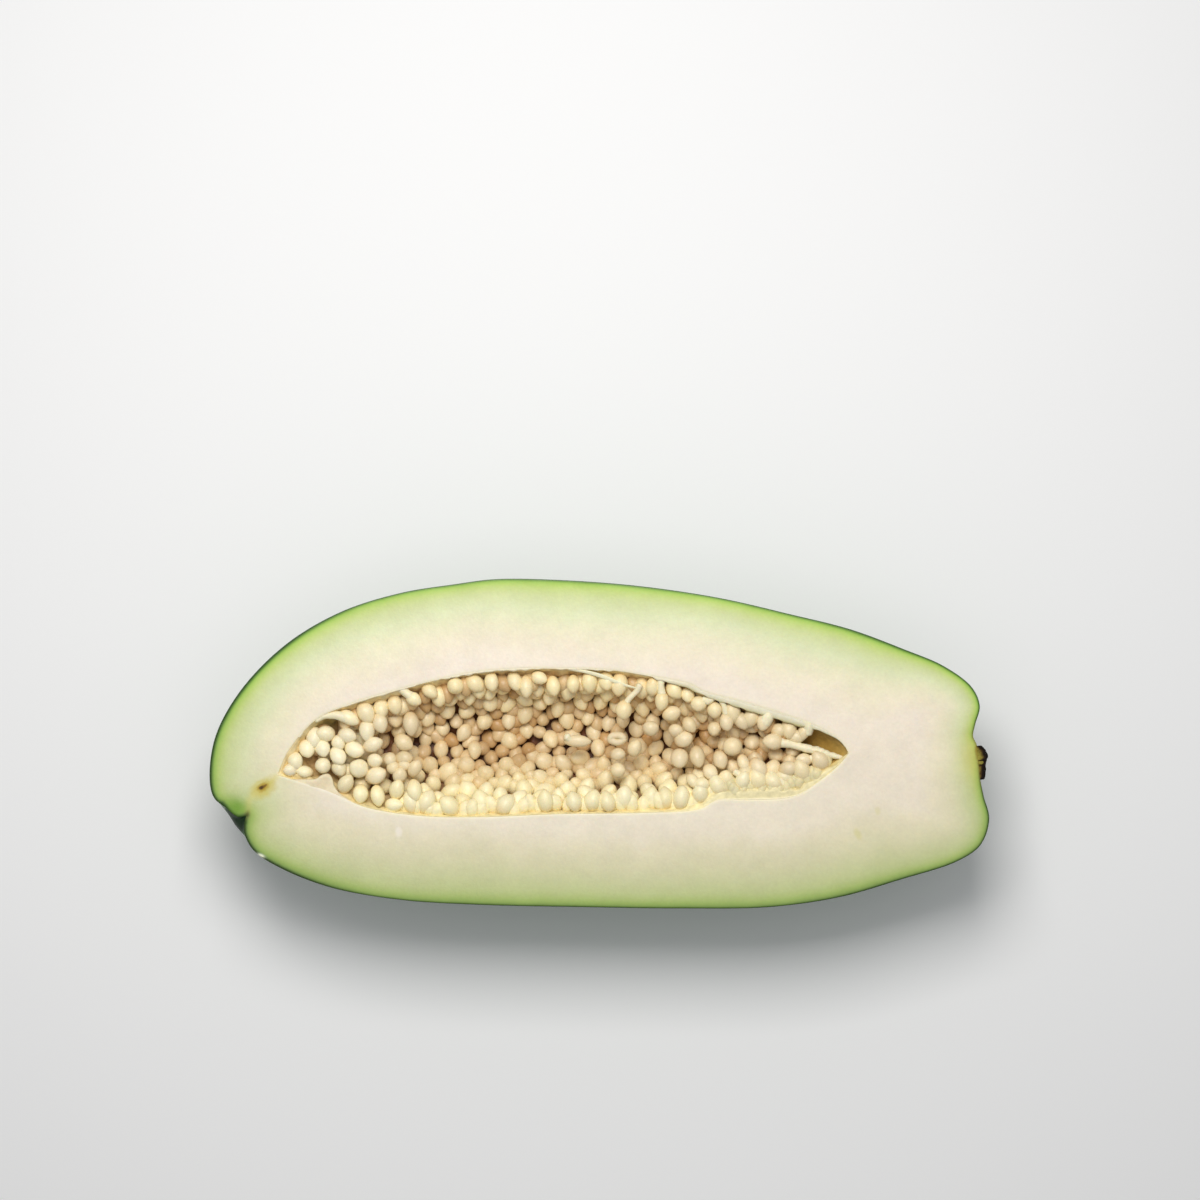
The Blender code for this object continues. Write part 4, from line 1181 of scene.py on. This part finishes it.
def make_scar():
    """The stalk's scar: a lumpy half ring of dark wood round a paler core."""
    rows = []
    for angle in np.linspace(0.0, math.pi, 41):
        outward = SCAR_SIDE * math.cos(angle) - np.array([0.0, 0.0, math.sin(angle)])
        share = (1.0 + math.cos(angle)) / 2.0
        height = share * SCAR_HEIGHT + (1.0 - share) * SCAR_LOW_HEIGHT
        section = (
            (SCAR_INNER, SCAR_FOOT), (SCAR_INNER, height * 0.6), (SCAR_INNER + 0.8, height),
            (SCAR_INNER + 2.4, height * 0.95), (SCAR_OUTER - 0.9, height * 0.7),
            (SCAR_OUTER, height * 0.3), (SCAR_OUTER - 0.2, SCAR_FOOT))
        curve = smooth_path(np.array([(r, h, 0.0) for r, h in section]), 5)
        rows.append(SCAR_CENTRE + outward * curve[:, :1] + SCAR_OUT * curve[:, 1:2])
    grid = np.array(rows)
    lumps = 0.22 * wobble(grid, 2.6, 51) + 0.12 * wobble(grid, 1.1, 52)
    away = grid - (SCAR_CENTRE + SCAR_OUT)
    away /= norm(away, axis=2)[:, :, None]
    grid = grid + away * lumps[:, :, None]
    grid[:, :, 2] = np.minimum(grid[:, :, 2], 0.0)
    grid[(0, -1), :, 2] = -0.02
    height = (grid - SCAR_CENTRE) @ SCAR_OUT
    tint = ramp(height + 0.6 * wobble(grid, 3.0, 53), SCAR_SHADES)
    parts = [grid_part(grid, tint)]
    # each end is closed level with the cut face: a dark crust over olive flesh
    inward = np.array([0.0, 0.12, 0.25, 0.4, 0.6, 0.8, 1.0])[:, None]
    for row in (0, -1):
        edge, above_foot = grid[row], height[row] - SCAR_FOOT
        foot = edge - SCAR_OUT * above_foot[:, None]
        cap = edge[None, :, :] * (1.0 - inward[:, :, None]) + foot[None, :, :] * inward[:, :, None]
        depth = above_foot[None, :] * inward + 0.25 * wobble(cap, 1.6, 54)
        parts.append(grid_part(cap, ramp(depth, CRUST_SHADES)))
    core = SCAR_CENTRE + SCAR_OUT * np.array([[-0.8], [0.5], [1.1]])
    core_points, core_faces = tube(core - (0.0, 0.0, 0.85), (0.95, 0.95, 0.7))
    core_points[:, 2] = np.minimum(core_points[:, 2], -0.03)
    parts.append((core_points, core_faces, linear((150, 140, 62))))
    scar = add_piece("stalk_scar", parts, (SCAR_FINISH,), closed=True)
    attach(scar, "root")
    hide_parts("stem_scar")


# Studio

FLOOR_SIZE = 6.0
FLOOR_GREY = 0.94
SKY_COLOUR, SKY_STRENGTH = (0.95, 0.97, 1.0, 1.0), 0.27
LAMP_TARGET = (0.0, 0.0, 0.05)

# Lamps: place and size in metres, power in watts and colour
LAMPS = {
    "key": ((-0.05, 0.34, 0.72), 0.34, 4.0, (1.0, 0.985, 0.96)),
    "top": ((0.0, 0.1, 1.3), 1.2, 2.3, (1.0, 1.0, 1.0)),
}

# The camera looks straight down from 1 metre above the cut face
SENSOR_WIDTH, FOCAL_LENGTH = 36.0, 83.3
CAMERA_PLACE = (0.0002, 0.0517, CUT_HEIGHT * MM + 1.0)


def make_floor():
    bpy.ops.mesh.primitive_plane_add(size=FLOOR_SIZE, location=(0.0, 0.0, 0.0))
    floor = bpy.context.object
    floor.name = "floor"
    finish = bpy.data.materials.new("floor")
    finish.use_nodes = True
    shader = finish.node_tree.nodes["Principled BSDF"]
    shader.inputs["Base Color"].default_value = (FLOOR_GREY, FLOOR_GREY, FLOOR_GREY, 1.0)
    shader.inputs["Roughness"].default_value = 0.9
    shader.inputs["Specular IOR Level"].default_value = 0.1
    floor.data.materials.append(finish)


def make_lights():
    world = bpy.data.worlds.new("studio")
    world.use_nodes = True
    sky = world.node_tree.nodes["Background"]
    sky.inputs["Color"].default_value = SKY_COLOUR
    sky.inputs["Strength"].default_value = SKY_STRENGTH
    bpy.context.scene.world = world
    for name, (place, size, power, colour) in LAMPS.items():
        light = bpy.data.lights.new(name, "AREA")
        light.energy = power
        light.size = size
        light.color = colour
        lamp = bpy.data.objects.new(name, light)
        lamp.location = place
        aim = Vector(LAMP_TARGET) - Vector(place)
        lamp.rotation_euler = aim.to_track_quat("-Z", "Y").to_euler()
        bpy.context.scene.collection.objects.link(lamp)


def make_camera():
    scene = bpy.context.scene
    lens = bpy.data.cameras.new("camera")
    lens.sensor_width = SENSOR_WIDTH
    lens.lens = FOCAL_LENGTH
    camera = bpy.data.objects.new("camera", lens)
    camera.location = CAMERA_PLACE
    scene.collection.objects.link(camera)
    scene.camera = camera
    scene.view_settings.view_transform = "Standard"


make_floor()
make_lights()
make_camera()
make_flesh()
make_bed()
make_seeds()
make_stalks()
make_membrane()
make_pulp()
make_scar()
